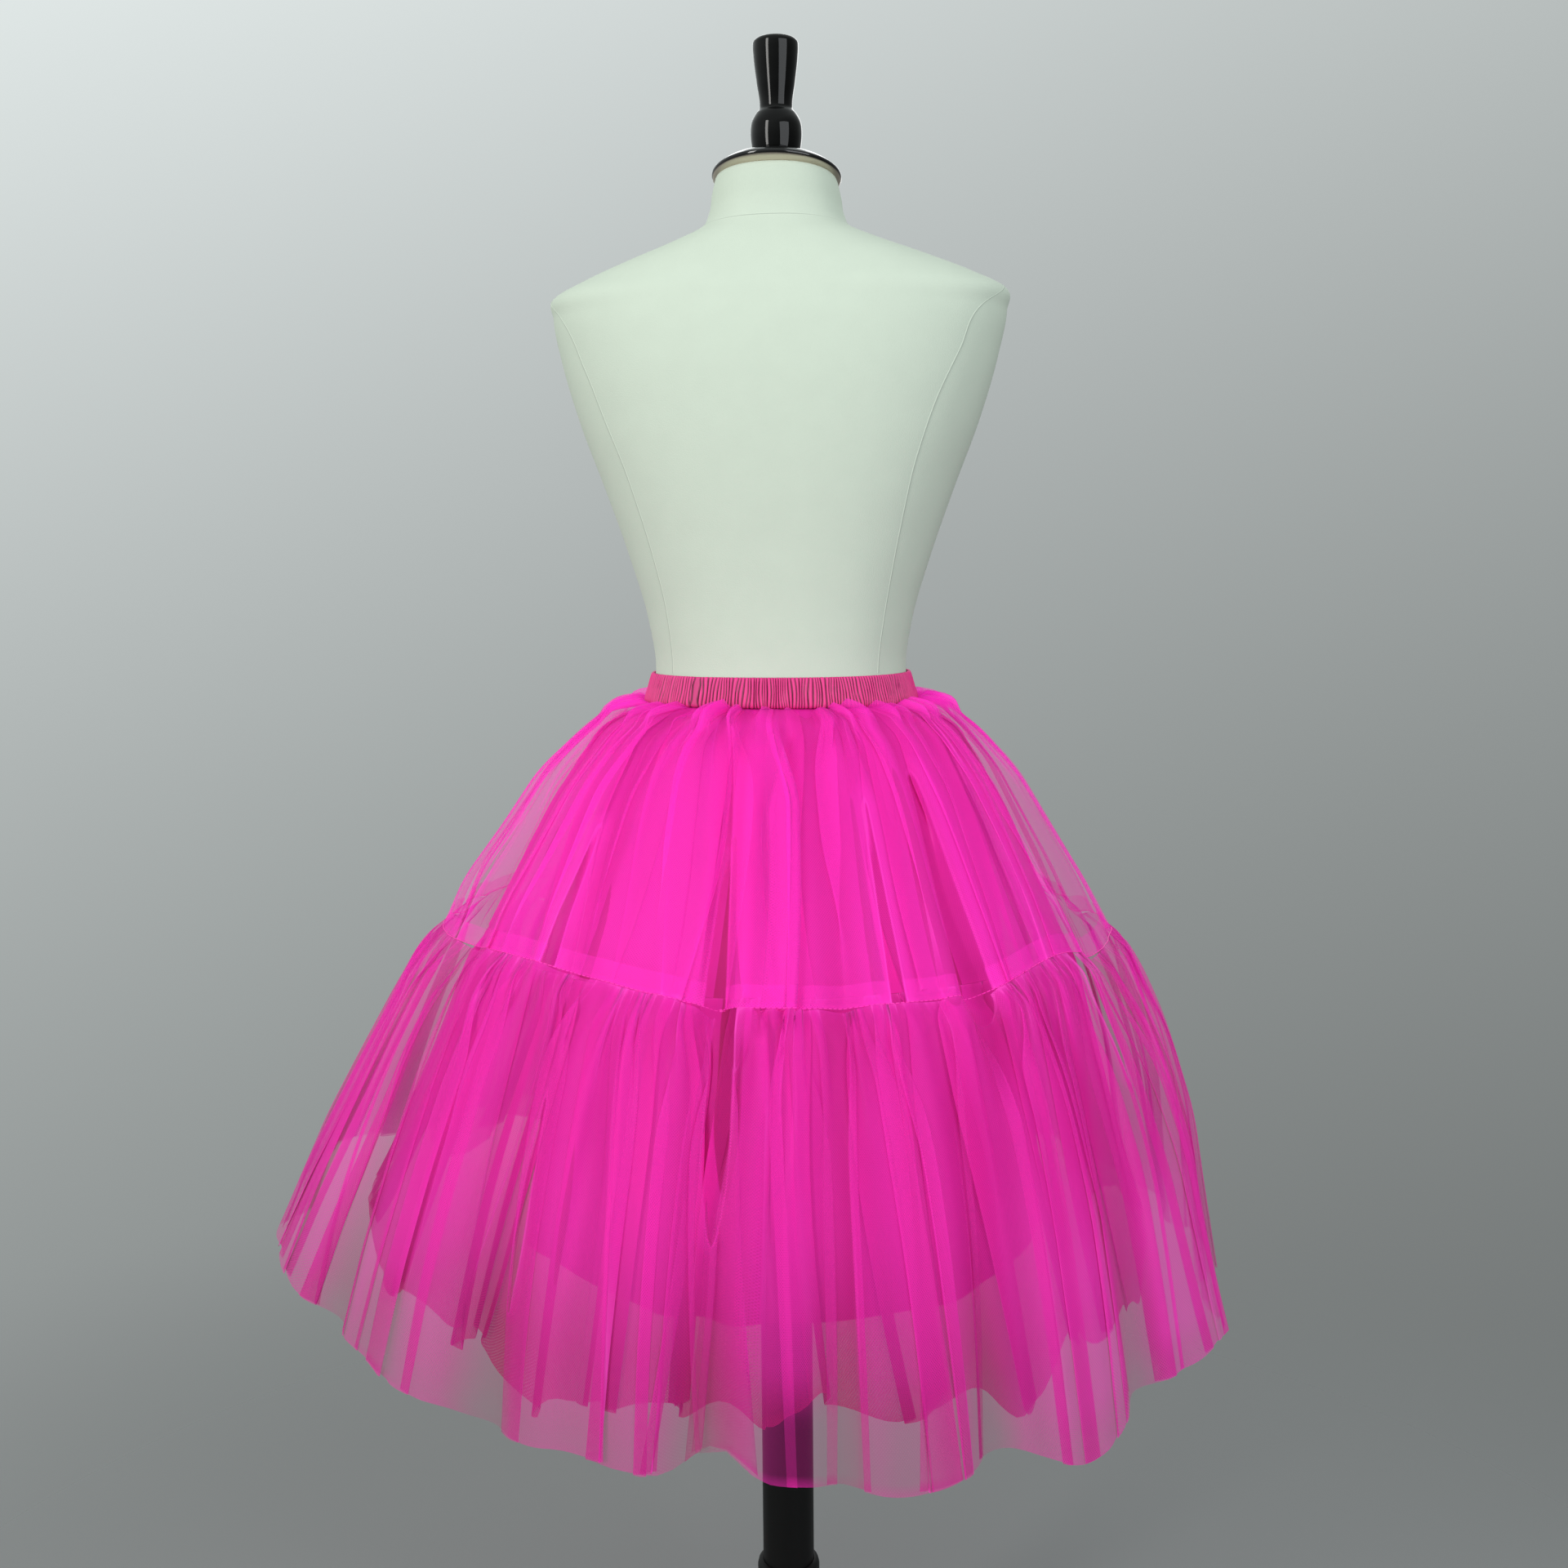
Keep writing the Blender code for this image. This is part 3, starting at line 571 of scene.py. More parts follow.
def folded_path(tier, ends, perimeters):
    """Path of each row of a gathered cloth, seen from above, as (share, along, out).

    The cloth's heading is a little to and fro by the sway, and swings round over the middle of each
    fold, which so is laid back: a tanh on each side makes the turn. Near the seam, puckers take its
    place: smaller and quicker swings at a pace of their own. In each row the swing is widened until
    the sum of the headings' cosines gives that row's perimeter from the cut width. Summing cosines
    and sines then gives the path.
    """
    cloth, depth = tier.cloth, tier.down[:, None]
    share = (np.arange(FINE_SAMPLES) + 0.5) / FINE_SAMPLES
    inside, side = laid_back(cloth, share, ends)
    chance = np.random.default_rng(cloth.seed + SPREADS)
    opened = fold_value(share, ends, chance.uniform(*OPENED_SPREAD, cloth.folds))
    closed = fold_value(share, ends, chance.uniform(*CLOSED_SPREAD, cloth.folds))
    small = uneven_waves(share, cloth.puckers, cloth.seed + PUCKERS)
    quick = uneven_waves(share, 2 * cloth.puckers // 3, cloth.seed + QUICK_PUCKERS)
    main = side * (0.5 + 0.5 * np.tanh(inside / TURN_LENGTH))
    main = main + tier.sway * uneven_waves(share, cloth.folds, cloth.seed + SWAYS)
    fine = tier.fine * np.exp(-depth / tier.fine_reach)
    small = small + QUICK_SHARE * quick * ease(depth, *QUICK_BY)
    swing = (opened + (closed - opened) * ease(depth, *CLOSED_AT)) * main * (1 - fine) + fine * small
    low, high = np.zeros(len(tier.down)), np.full(len(tier.down), WIDEST_SWING)
    wanted = perimeters / cloth.cut_width
    for _ in range(SWING_ROUNDS):
        middle = (low + high) / 2
        heading = np.clip(middle[:, None] * swing, -MOST_HEADING, MOST_HEADING)
        long = np.cos(heading).mean(axis=1) > wanted
        low, high = np.where(long, middle, low), np.where(long, high, middle)
    heading = np.clip(low[:, None] * swing, -MOST_HEADING, MOST_HEADING)
    step = cloth.cut_width / FINE_SAMPLES
    along = np.cumsum(np.cos(heading) - wanted[:, None], axis=1) * step
    along = without_drift(along, cloth.folds / ALONG_FOLDS)
    out = without_drift(np.cumsum(np.sin(heading), axis=1) * step, cloth.folds / OUT_FOLDS)
    return share, along, out


def sampled(rows, share, at):
    """Each row of values at the columns, from the fine samples round the cloth."""
    return np.array([np.interp(at % 1, share, row, period=1) for row in rows])


def patches(table, azimuth):
    """The sum of the table's patches at each azimuth."""
    return sum(patch.amount * swell(azimuth, patch.azimuth, patch.half_width) for patch in table)


def tier_painted_shade(tier, depth, straight, valley, dent, puffs):
    """Painted shade on the net, from 0 to 1: in valleys and deep folds, under puffs and towards the hem."""
    near_top = 1 - ease(depth, *NEAR_TOP)
    under_puffs = PUFF_SHADE * tier.puff * (MEAN_PUFF - puffs)
    shade = VALLEY_SHADE * valley + DEEP_SHADE * np.clip(dent / DARKEST_DENT, 0, 1)
    shade = shade + (TOP_VALLEY_SHADE * valley + under_puffs) * near_top
    # Painted shade at the hem, weaker on the side that is lit from the right
    unlit = 1 - patches([LIT_SIDE], straight)
    return shade + tier.painted_hem_shade * ease(depth, *PAINTED_HEM_SHADE_BY) * unlit


def tier_crease(tier, depth, straight, facing, dent):
    """How tightly the net is folded: 1 where it runs straight in or out, less as it faces outwards.

    It is a bell over the facing. It falls in deep folds, above a thin hem and at the smooth sides. A
    tier that is sewn onto another is crowded at its top, denser in its lower half, most at the full
    places, and thin at the sheer places.
    """
    sewn_on = tier.start is not None
    edge_on = EDGE_ON + EDGE_ON_TOP * np.exp(-depth / EDGE_ON_REACH)
    hem_line = HEM_LINE_SEWN if sewn_on else HEM_LINE_FREE
    crease = np.exp(-((facing / edge_on) ** 2)) - DEEP_THINNING * np.clip(dent / THINNEST_DENT, 0, 1)
    crease = crease - tier.thinner * ease(depth, *THINNER_BY) + hem_line * ease(depth, *HEM_LINE_BY)
    if sewn_on:
        crease = crease + SEAM_CROWD * np.exp(-depth / SEAM_CROWD_REACH)
        lower_half = ease(depth, *LOWER_HALF) * (1 - HEM_LOSS * ease(depth, *NEAR_HEM))
        crease = crease + tier.denser * (1 + patches(FULL_PLACES, straight)) * lower_half
        sheer = patches(SHEER_PLACES, straight) * ease(depth, *SHEER_FROM) * (1 - ease(depth, *SHEER_TO))
        crease = crease * (1 - sheer) - SHEER_THINNING * sheer
    side = patches(SHEER_SIDES, straight)
    return np.minimum(crease * (1 - side) - SIDE_THINNING * side, MOST_CREASE)


def tier_plan(tier, ends, columns_at, chance):
    """Each point's turn round the compass and its depth behind the folds' crests, with the perimeters.

    A point's turn is its share of the cut width, moved by the folded path, by the fold's lean times
    its depth, and by the fold's drift and bend on its way down.
    """
    cloth, depth = tier.cloth, tier.down[:, None]
    round_once = np.linspace(0, 2 * np.pi, COMPASS_STEPS + 1)[:-1]
    mean_radius = section_radius(round_once, tier.down, tier.sections, tier.waist_reach).mean(axis=1)
    perimeters = 2 * np.pi * mean_radius * PATH_SHARE
    share, along, out = folded_path(tier, ends, perimeters)
    sides = np.sign(chance.uniform(-1, 1, cloth.folds)) * chance.uniform(*LEAN_SPREAD, cloth.folds)
    leans = tier.lean * fold_value(share, ends, sides)
    drifts = tier.drift * fold_value(share, ends, chance.uniform(-1, 1, cloth.folds))
    bends = tier.bend * fold_value(share, ends, chance.uniform(-1, 1, cloth.folds))
    shift = along + leans * np.clip(out, -MOST_LEANING, MOST_LEANING) * ease(depth, *LEANING_BY)
    shift = shift + drifts * depth**DRIFT_POWER + bends * np.sin(np.pi * depth)
    turn = sampled(shift / perimeters[:, None], share, columns_at) + columns_at + tier.turned
    out = sampled(out, share, columns_at)
    pressed = tier.flat * (tier.press_top + (1 - tier.press_top) * ease(depth, *PRESSED_BY))
    return turn, tier.cap * np.tanh(out * pressed / tier.cap), perimeters


def fold_tier(tier):
    """Points of a gathered tier, its point values, and its last row for what is sewn to it.

    A point stands off the tier's plan shape along the slope's normal by its depth behind the crests,
    less the deep folds. A tier from the waist fans out: its folds start nearer the form's middle.
    With a start, the top row lies on the tier above and gives way to the tier's own path.
    """
    cloth, depth = tier.cloth, tier.down[:, None]
    ends = fold_ends(cloth)
    columns_at = cloth_columns(cloth, ends)
    chance = np.random.default_rng(cloth.seed + LEANS)
    turn, out, perimeters = tier_plan(tier, ends, columns_at, chance)
    straight = 2 * np.pi * turn
    fan = 0 if tier.waist_reach is None else WAIST_FAN
    azimuth = straight + fan * np.sin(2 * straight) * (1 - depth) ** FAN_FADE
    radius = section_radius(azimuth, tier.down, tier.sections, tier.waist_reach)
    top, bottom = tier.top(azimuth), tier.bottom(azimuth)
    height = top + (bottom - top) * depth - depth**3 * tier.drop(azimuth)
    uneven = fold_value(columns_at, ends, chance.uniform(-1, 1, cloth.folds))
    uneven = uneven + FINE_RAGS * uneven_waves(columns_at, cloth.folds, cloth.seed + RAGS)
    height = height - tier.ragged * depth**4 * uneven
    slope_out = np.gradient(radius.mean(axis=1))
    slope_up = np.gradient(height.mean(axis=1))
    length = np.hypot(slope_out, slope_up)
    normal_out, normal_up = (-slope_up / length)[:, None], (slope_out / length)[:, None]
    crest = np.quantile(out, CREST_SHARE, axis=1)[:, None]
    stand = np.minimum(out - crest, MOST_PROUD)
    if tier.start is not None:
        held = 1 - ease(depth, *HELD_BY)
        stand = (out - crest) * (1 - HELD_PART * held) + tier.start(turn) * held
    last_stand = stand[-1]
    dent = tier.cut_in(straight, depth)
    puffs = np.clip(uneven_waves(columns_at, PUFFS, cloth.seed + PUFF_SIZES), 0, MOST_PUFF)
    raised = tier.puff * ease(depth, *PUFF_RISE) * (1 - ease(depth, *PUFF_FALL)) * puffs
    parted = open_places(tier.openings, straight, depth, radius)
    valley = np.clip((crest - out) / (VALLEY_CRESTS * np.abs(crest) + VALLEY_LEAST), 0, 1)
    # Painted shade on the net, from its valleys, deep folds, puffs and hem
    shade = tier_painted_shade(tier, depth, straight, valley, dent, puffs)
    facing = np.gradient(turn, axis=1) * perimeters[:, None] / (np.gradient(columns_at) * cloth.cut_width)
    crease = tier_crease(tier, depth, straight, facing, dent)
    stand = stand - dent + raised
    radius = radius + stand * normal_out
    height = height + stand * normal_up + PUFF_LIFT * raised
    points = points_at(azimuth, radius, height)
    looks = {"crease": crease, "shade": shade, "parted": parted}
    return Folded(cloth, points, looks, columns_at, turn[-1], last_stand)


# ---------------------------------------------------------------- meshes


def put(name, points, faces, material, uv=None, values=None, smooth=True):
    """A mesh object that rides on the one body, with its UV map and its named point values."""
    mesh = bpy.data.meshes.new(name)
    points = np.asarray(points, np.float32).reshape(-1, 3)
    faces = np.asarray(faces, np.int32)
    mesh.vertices.add(len(points))
    mesh.vertices.foreach_set("co", points.ravel())
    mesh.loops.add(faces.size)
    mesh.loops.foreach_set("vertex_index", faces.ravel())
    mesh.polygons.add(len(faces))
    mesh.polygons.foreach_set("loop_start", np.arange(0, faces.size, faces.shape[1], dtype=np.int32))
    mesh.update(calc_edges=True)
    mesh.polygons.foreach_set("use_smooth", np.full(len(faces), smooth))
    if uv is not None:
        layer = mesh.uv_layers.new(name="cut")
        layer.data.foreach_set("uv", np.asarray(uv, np.float32).reshape(-1, 2).ravel())
    for key, value in (values or {}).items():
        mesh.attributes.new(key, "FLOAT", "POINT").data.foreach_set(
            "value", np.asarray(value, np.float32).ravel())
    mesh.materials.append(material)
    mesh.validate()
    made = bpy.data.objects.new(name, mesh)
    bpy.context.scene.collection.objects.link(made)
    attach(made, "root")
    return made


def grid_faces(rows, columns, closed_round):
    """Quads of a grid, row by row; closed_round joins the last column to the first."""
    here = np.arange(columns if closed_round else columns - 1)
    there = (here + 1) % columns
    top = (np.arange(rows - 1) * columns)[:, None]
    quads = np.stack([top + here, top + columns + here, top + columns + there, top + there], axis=2)
    return quads.reshape(-1, 4)


def grid_uv(rows, columns, across, along):
    """UV of each corner of a grid that is closed round: the shares across, and the distances along."""
    u = np.append(across, across[0] + 1)
    left, right = u[:columns], u[1:columns + 1]
    top, bottom = along[:-1], along[1:]
    corner = np.zeros((rows - 1, columns, 4, 2))
    corner[:, :, 0, 0] = corner[:, :, 1, 0] = left
    corner[:, :, 2, 0] = corner[:, :, 3, 0] = right
    corner[:, :, 0, 1] = corner[:, :, 3, 1] = top[:, None]
    corner[:, :, 1, 1] = corner[:, :, 2, 1] = bottom[:, None]
    return corner


def put_tier(name, folded, material):
    """The mesh of a tier, closed round, with its UV in metres of the flat cut, and its length."""
    rows, columns = folded.points.shape[0], folded.points.shape[1] - 1
    points = folded.points[:, :columns]
    drops = np.linalg.norm(np.diff(points, axis=0), axis=2).mean(axis=1)
    along = -np.concatenate([[0], np.cumsum(drops)])
    uv = grid_uv(rows, columns, folded.columns_at[:columns], along)
    uv[..., 0] *= folded.cloth.cut_width
    looks = {key: value[:, :columns] for key, value in folded.looks.items()}
    return put(name, points, grid_faces(rows, columns, True), material, uv, looks), -along[-1]


# ---------------------------------------------------------------- materials


class Nodes:
    """A material's node tree, with short ways to add and join nodes."""

    def __init__(self, name):
        self.material = bpy.data.materials.new(name)
        self.material.use_nodes = True
        self.tree = self.material.node_tree
        self.tree.nodes.clear()
        self.output = self.tree.nodes.new("ShaderNodeOutputMaterial")

    def add(self, kind, **sockets):
        """A node of the kind, with its settings and its sockets by name: a value or another output.

        in0 is the first socket, in1 the next, and an underscore in any other name stands for a space.
        """
        node = self.tree.nodes.new(kind)
        for key, value in sockets.items():
            if hasattr(node, key):
                setattr(node, key, value)
                continue
            numbered = key.startswith("in")
            socket = node.inputs[int(key[2:]) if numbered else key.replace("_", " ")]
            if isinstance(value, bpy.types.NodeSocket):
                self.tree.links.new(value, socket)
            else:
                socket.default_value = value
        return node

    def math(self, operation, first, second=0.0, third=0.0):
        """The result of one operation on numbers."""
        return self.add("ShaderNodeMath", operation=operation, in0=first, in1=second, in2=third).outputs[0]

    def mix_colours(self, share, first, second):
        """The mix of two colours, each a value or another output, by a share that is held to 0 and 1."""
        mix = self.add("ShaderNodeMix", data_type="RGBA", clamp_factor=True, in0=share, in6=first,
                       in7=second)
        return mix.outputs[2]

    def mix_shaders(self, share, first, second):
        """The node that mixes two shaders' nodes by the share."""
        return self.add("ShaderNodeMixShader", Fac=share, in1=first.outputs[0], in2=second.outputs[0])

    def finish(self, shader):
        """The material, with this node's shader as its surface."""
        self.tree.links.new(shader.outputs[0], self.output.inputs["Surface"])
        return self.material


NET_PITCH, NET_SLANT = 0.0013, 0.58
THREAD_COVER, HOLE_COVER = 0.50, 0.67
# The painted sheen on tight folds: its share, and the colour it lightens towards
EDGE_PAINTED_SHEEN, EDGE_SHEEN_COLOUR = 0.55, (1.0, 0.095, 0.68, 1)
# Where the net parts: the cover of its rolled edge, of the opening and of the line along the edge,
# the painted shade on a net behind it, and the distances inside the opening, in metres, over which
# it opens and on which that line lies
ROLLED_COVER, OPEN_COVER, EDGE_LINE_COVER, BEHIND_PAINTED_SHADE = 0.45, -1.1, 0.35, 0.6
OPENS_BY, EDGE_LINE_AT, EDGE_LINE_HALF = (-0.0002, 0.0006), -0.0008, (0.0004, 0.0010)


def weave_cover(nodes):
    """Cover of the net's weave: two slanting rows of threads, each a triangle wave over the flat cut."""
    place = nodes.add("ShaderNodeUVMap", uv_map="cut").outputs["UV"]
    parts = nodes.add("ShaderNodeSeparateXYZ", Vector=place)
    across = nodes.math("MULTIPLY", parts.outputs[0], 1 / NET_PITCH)
    down = nodes.math("MULTIPLY", parts.outputs[1], NET_SLANT / NET_PITCH)
    threads = []
    for operation in ("ADD", "SUBTRACT"):
        line = nodes.math("PINGPONG", nodes.math(operation, across, down), 0.5)
        threads.append(nodes.math("SUBTRACT", 1.0, nodes.math("MULTIPLY", line, 2.0)))
    thread = nodes.math("MAXIMUM", threads[0], threads[1])
    return nodes.math("MULTIPLY_ADD", thread, THREAD_COVER, HOLE_COVER)


def opened_crease(nodes, crease, parted, inside):
    """The crease value with the openings cut in: none inside, and a rolled edge with a thin line outside."""
    off = nodes.math("ABSOLUTE", nodes.math("ADD", parted, -EDGE_LINE_AT))
    line = nodes.add("ShaderNodeMapRange", Value=off, From_Min=EDGE_LINE_HALF[0],
                     From_Max=EDGE_LINE_HALF[1], To_Min=1.0, To_Max=0.0)
    rolled = nodes.add("ShaderNodeMapRange", Value=parted, From_Min=-ROLLED_WIDTH,
                       From_Max=-0.3 * ROLLED_WIDTH)
    crease = nodes.math("MULTIPLY_ADD", rolled.outputs[0], ROLLED_COVER, crease)
    crease = nodes.math("MULTIPLY", crease, nodes.math("SUBTRACT", 1.0, inside))
    crease = nodes.math("MULTIPLY_ADD", inside, OPEN_COVER, crease)
    return nodes.math("MULTIPLY_ADD", line.outputs[0], EDGE_LINE_COVER, crease)


def net_material(name, colour, darker, cover, crease_cover, glow, behind=False):
    """Net of fine threads over holes that let everything through.

    The share of cover goes from cover to crease_cover as the crease value says that the net is folded
    tight, times the weave. The shade value is painted shade that darkens the colour, and tight folds
    get a painted sheen that lightens it. Where the parted value is above 0 the net is open; a net
    behind it only gets painted shade there. glow is the share of light that comes through the threads.
    """
    nodes = Nodes(name)
    weave = weave_cover(nodes)
    crease = nodes.add("ShaderNodeAttribute", attribute_name="crease").outputs["Fac"]
    shade = nodes.add("ShaderNodeAttribute", attribute_name="shade").outputs["Fac"]
    parted = nodes.add("ShaderNodeAttribute", attribute_name="parted").outputs["Fac"]
    inside = nodes.add("ShaderNodeMapRange", Value=parted, From_Min=OPENS_BY[0],
                       From_Max=OPENS_BY[1]).outputs[0]
    if behind:
        # A net behind an opening gets painted shade inside it
        shade = nodes.math("MULTIPLY_ADD", inside, BEHIND_PAINTED_SHADE, shade)
    else:
        crease = opened_crease(nodes, crease, parted, inside)
    crease = nodes.math("MINIMUM", crease, 1.0)
    share = nodes.math("MULTIPLY_ADD", crease, crease_cover - cover, cover)
    covered = nodes.add("ShaderNodeMath", operation="MULTIPLY", use_clamp=True, in0=share, in1=weave)
    # Painted shade: the colour goes towards the darker colour by the shade value
    deep = nodes.mix_colours(shade, (*colour, 1), (*darker, 1))
    # Painted sheen: tight folds are lightened towards a paler pink
    tight = nodes.math("POWER", nodes.math("MAXIMUM", crease, 0.0), 4.0)
    tint = nodes.mix_colours(nodes.math("MULTIPLY", tight, EDGE_PAINTED_SHEEN), deep, EDGE_SHEEN_COLOUR)
    surface = nodes.add("ShaderNodeBsdfPrincipled", Base_Color=tint, Roughness=0.62)
    surface.inputs["Specular IOR Level"].default_value = 0.25
    surface.inputs["Sheen Weight"].default_value = 0.10
    surface.inputs["Sheen Roughness"].default_value = 0.5
    surface.inputs["Sheen Tint"].default_value = (1.0, 0.45, 0.80, 1)
    through = nodes.add("ShaderNodeBsdfTranslucent", Color=tint)
    threads_lit = nodes.mix_shaders(glow, surface, through)
    clear = nodes.add("ShaderNodeBsdfTransparent")
    return nodes.finish(nodes.mix_shaders(covered.outputs[0], clear, threads_lit))


BLOTCH_SCALE, GRAIN_RELIEF = 45.0, 0.0004
MARKS_SCALE, MARKS_ROUGH = 18.0, 0.05


def cloth_material(name, colour, darker, roughness, scale, bump, shade_by=None):
    """Cloth with a fine rough grain. It is darker in soft blotches, or by a point value as painted shade."""
    nodes = Nodes(name)
    place = nodes.add("ShaderNodeTexCoord").outputs["Object"]
    if shade_by:
        much = nodes.add("ShaderNodeAttribute", attribute_name=shade_by).outputs["Fac"]
    else:
        blotches = nodes.add("ShaderNodeTexNoise", Scale=BLOTCH_SCALE, Detail=4.0, Vector=place)
        much = blotches.outputs["Fac"]
    tint = nodes.mix_colours(much, (*colour, 1), (*darker, 1))
    fine = nodes.add("ShaderNodeTexNoise", Scale=scale, Detail=2.0, Vector=place)
    raised = nodes.add("ShaderNodeBump", Strength=bump, Distance=GRAIN_RELIEF,
                       Height=fine.outputs["Fac"])
    surface = nodes.add("ShaderNodeBsdfPrincipled", Base_Color=tint, Roughness=roughness,
                        Normal=raised.outputs[0])
    return nodes.finish(surface)


def lacquer_material(name, colour, roughness, gloss, underside=None):
    """Black paint with faint hand marks in its roughness. An underside is warm metal: painted reflection."""
    nodes = Nodes(name)
    place = nodes.add("ShaderNodeTexCoord").outputs["Object"]
    marks = nodes.add("ShaderNodeTexNoise", Scale=MARKS_SCALE, Detail=3.0, Vector=place)
    rough = nodes.math("MULTIPLY_ADD", marks.outputs["Fac"], MARKS_ROUGH, roughness)
    surface = nodes.add("ShaderNodeBsdfPrincipled", Base_Color=(*colour, 1), Roughness=rough)
    surface.inputs["Specular IOR Level"].default_value = gloss
    if underside is None:
        return nodes.finish(surface)
    # Warm metal below the rim: its colour is a painted reflection of the ivory cover below
    bare = nodes.add("ShaderNodeBsdfPrincipled", Base_Color=(*underside, 1), Metallic=1.0, Roughness=0.32)
    below = nodes.add("ShaderNodeAttribute", attribute_name="bare").outputs["Fac"]
    return nodes.finish(nodes.mix_shaders(below, surface, bare))


# Each net's second colour is the colour of its painted shade
UPPER_TULLE = net_material("hot_pink_upper_net", (0.97, 0.029, 0.60), (0.58, 0.007, 0.21),
                           cover=0.33, crease_cover=0.62, glow=0.35)
# The lower tier's net is a darker copy of the upper tier's: painted shade for less light from above
LOWER_TULLE_SHADED = net_material("hot_pink_lower_net_shaded", (0.80, 0.017, 0.44), (0.38, 0.006, 0.13),
                           cover=0.36, crease_cover=0.68, glow=0.35)
# The inner net's pink is kept darker than the outer nets' as painted shade for the layer behind
INNER_TULLE = net_material("hot_pink_inner_net", (0.89, 0.017, 0.47), (0.40, 0.003, 0.10),
                           cover=0.70, crease_cover=0.88, glow=0.30, behind=True)
# The lining's own pink, darkened towards the net's look in shade: partly painted shade
LINING = cloth_material("pink_lining_cloth", (0.60, 0.008, 0.24), (0.54, 0.007, 0.21),
                        roughness=0.6, scale=900.0, bump=0.3)
# The satin's dark second colour is painted shade in the grooves between its ribs
SATIN = cloth_material("raspberry_satin", (0.54, 0.013, 0.165), (0.08, 0.001, 0.02),
                       roughness=0.60, scale=1400.0, bump=0.35, shade_by="crease")
THREAD = cloth_material("pink_thread", (0.80, 0.018, 0.40), (0.72, 0.014, 0.34),
                        roughness=0.5, scale=1500.0, bump=0.2)
JERSEY = cloth_material("ivory_jersey", (0.406, 0.463, 0.390), (0.383, 0.436, 0.368),
                        roughness=0.85, scale=1100.0, bump=0.4)
# The seam jersey's dark second colour is painted shade in the seams' grooves
SEAM_JERSEY = cloth_material("ivory_seam", (0.43, 0.485, 0.41), (0.25, 0.29, 0.245),
                             roughness=0.85, scale=1100.0, bump=0.3, shade_by="crease")
BLACK = lacquer_material("black_lacquer", (0.001, 0.001, 0.001), roughness=0.03, gloss=0.16)
# The warm colour below the rim stands in for the ivory cover's reflection: painted reflection
CAP_ENAMEL = lacquer_material("black_enamel", (0.003, 0.003, 0.003), roughness=0.08, gloss=0.35,
                              underside=(0.62, 0.54, 0.45))
POLE = lacquer_material("satin_black_lacquer", (0.0025, 0.0025, 0.0025), roughness=0.45, gloss=0.15)

# ---------------------------------------------------------------- the skirt


def edge_line(edge, rises=()):
    """Height of a seam or hem at any azimuth, with the places where it rides up."""
    def height(azimuth):
        lift = sum(rise.height * swell(azimuth, rise.azimuth, rise.half_width) for rise in rises)
        return by_side(azimuth, *edge) + lift
    return height


def deep_folds(table):
    """Depth of the single deep folds, from their azimuths, widths and depths at top and bottom."""
    def depth_at(azimuth, down):
        return sum((fold.top + (fold.bottom - fold.top) * down)
                   * swell(azimuth, fold.azimuth, fold.half_width) for fold in table)
    return depth_at


def lower_folds(azimuth, down):
    """The upper tier's deep folds at the seam, giving way to the lower tier's own, less the lobes."""
    opening = ease(down, 0.0, 0.30)
    swing = sum(lobe.swing * swell(azimuth, lobe.azimuth, lobe.half_width) for lobe in HEM_LOBES)
    own = deep_folds(OUTER_LOWER_FOLDS)(azimuth, down)
    return opening * own + (1 - opening) * deep_folds(OUTER_UPPER_FOLDS)(azimuth, 1.0) - down**2 * swing


def rows_down(count, power):
    """Shares of the way down at the rows, closer together near the top by the power."""
    return np.linspace(0, 1, count) ** power


def carried_on(folded):
    """Depth of a tier's bottom row at any turn round the compass, for the tier that is sewn to it."""
    turn, stand = folded.last_turn[:-1] % 1, folded.last_stand[:-1]
    order = np.argsort(turn)

    def start(at):
        return np.interp(at, turn[order], stand[order], period=1)
    return start


ALLOWANCE_ROWS, ALLOWANCE_IN, ALLOWANCE_CREASE = 5, 0.0012, -0.05
STITCH_PITCH, STITCH_LENGTH, STITCH_HALF, STITCH_PROUD = 0.0040, 0.0027, 0.00030, 0.0004


def seam_allowance(name, folded, material):
    """The lower tier's edge, turned up inside the upper tier: its last rows, drawn in a little."""
    strip = folded.points[-ALLOWANCE_ROWS:].copy()
    strip[..., :2] *= 1 - ALLOWANCE_IN / np.hypot(strip[..., :1], strip[..., 1:2])
    looks = {key: value[-ALLOWANCE_ROWS:] for key, value in folded.looks.items()}
    looks["crease"] = np.minimum(looks["crease"], ALLOWANCE_CREASE)
    looks["shade"] = 0 * looks["shade"]
    made, length = put_tier(name, folded._replace(points=strip, looks=looks), material)


def stitch_line(name, line, material):
    """Dashes of thread along a closed line: small boxes at an even pitch, just outside the cloth."""
    steps = np.linalg.norm(np.diff(line, axis=0), axis=1)
    run = np.concatenate([[0], np.cumsum(steps)])
    starts = np.arange(0, run[-1] - STITCH_PITCH, STITCH_PITCH)
    ends = [np.stack([np.interp(starts + more, run, line[:, axis]) for axis in range(3)], axis=1)
            for more in (0, STITCH_LENGTH)]
    outward = ends[0] * [1, 1, 0]
    outward /= np.linalg.norm(outward, axis=1, keepdims=True)
    side, up = outward * STITCH_HALF, np.array([0, 0, STITCH_HALF])
    corners = [end + outward * STITCH_PROUD + out * side + lift * up
               for end in ends for out, lift in ((-1, -1), (1, -1), (1, 1), (-1, 1))]
    points = np.stack(corners, axis=1).reshape(-1, 3)
    box = np.array([(0, 1, 5, 4), (1, 2, 6, 5), (2, 3, 7, 6), (3, 0, 4, 7), (3, 2, 1, 0), (4, 5, 6, 7)])
    faces = (np.arange(len(starts)) * 8)[:, None, None] + box
    return put(name, points, faces.reshape(-1, 4), material, smooth=False)


def hang_tier(name, node, folded, material, stitches=None):
    """The mesh of a tier in its node's place, whose own part from the model is hidden.

    Where its stitches have a name, a line of them along its last row goes with it.
    """
    made, length = put_tier(name, folded, material)
    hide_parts(node)
    sewn = [stitch_line(stitches, folded.points[-1], THREAD)] if stitches else []


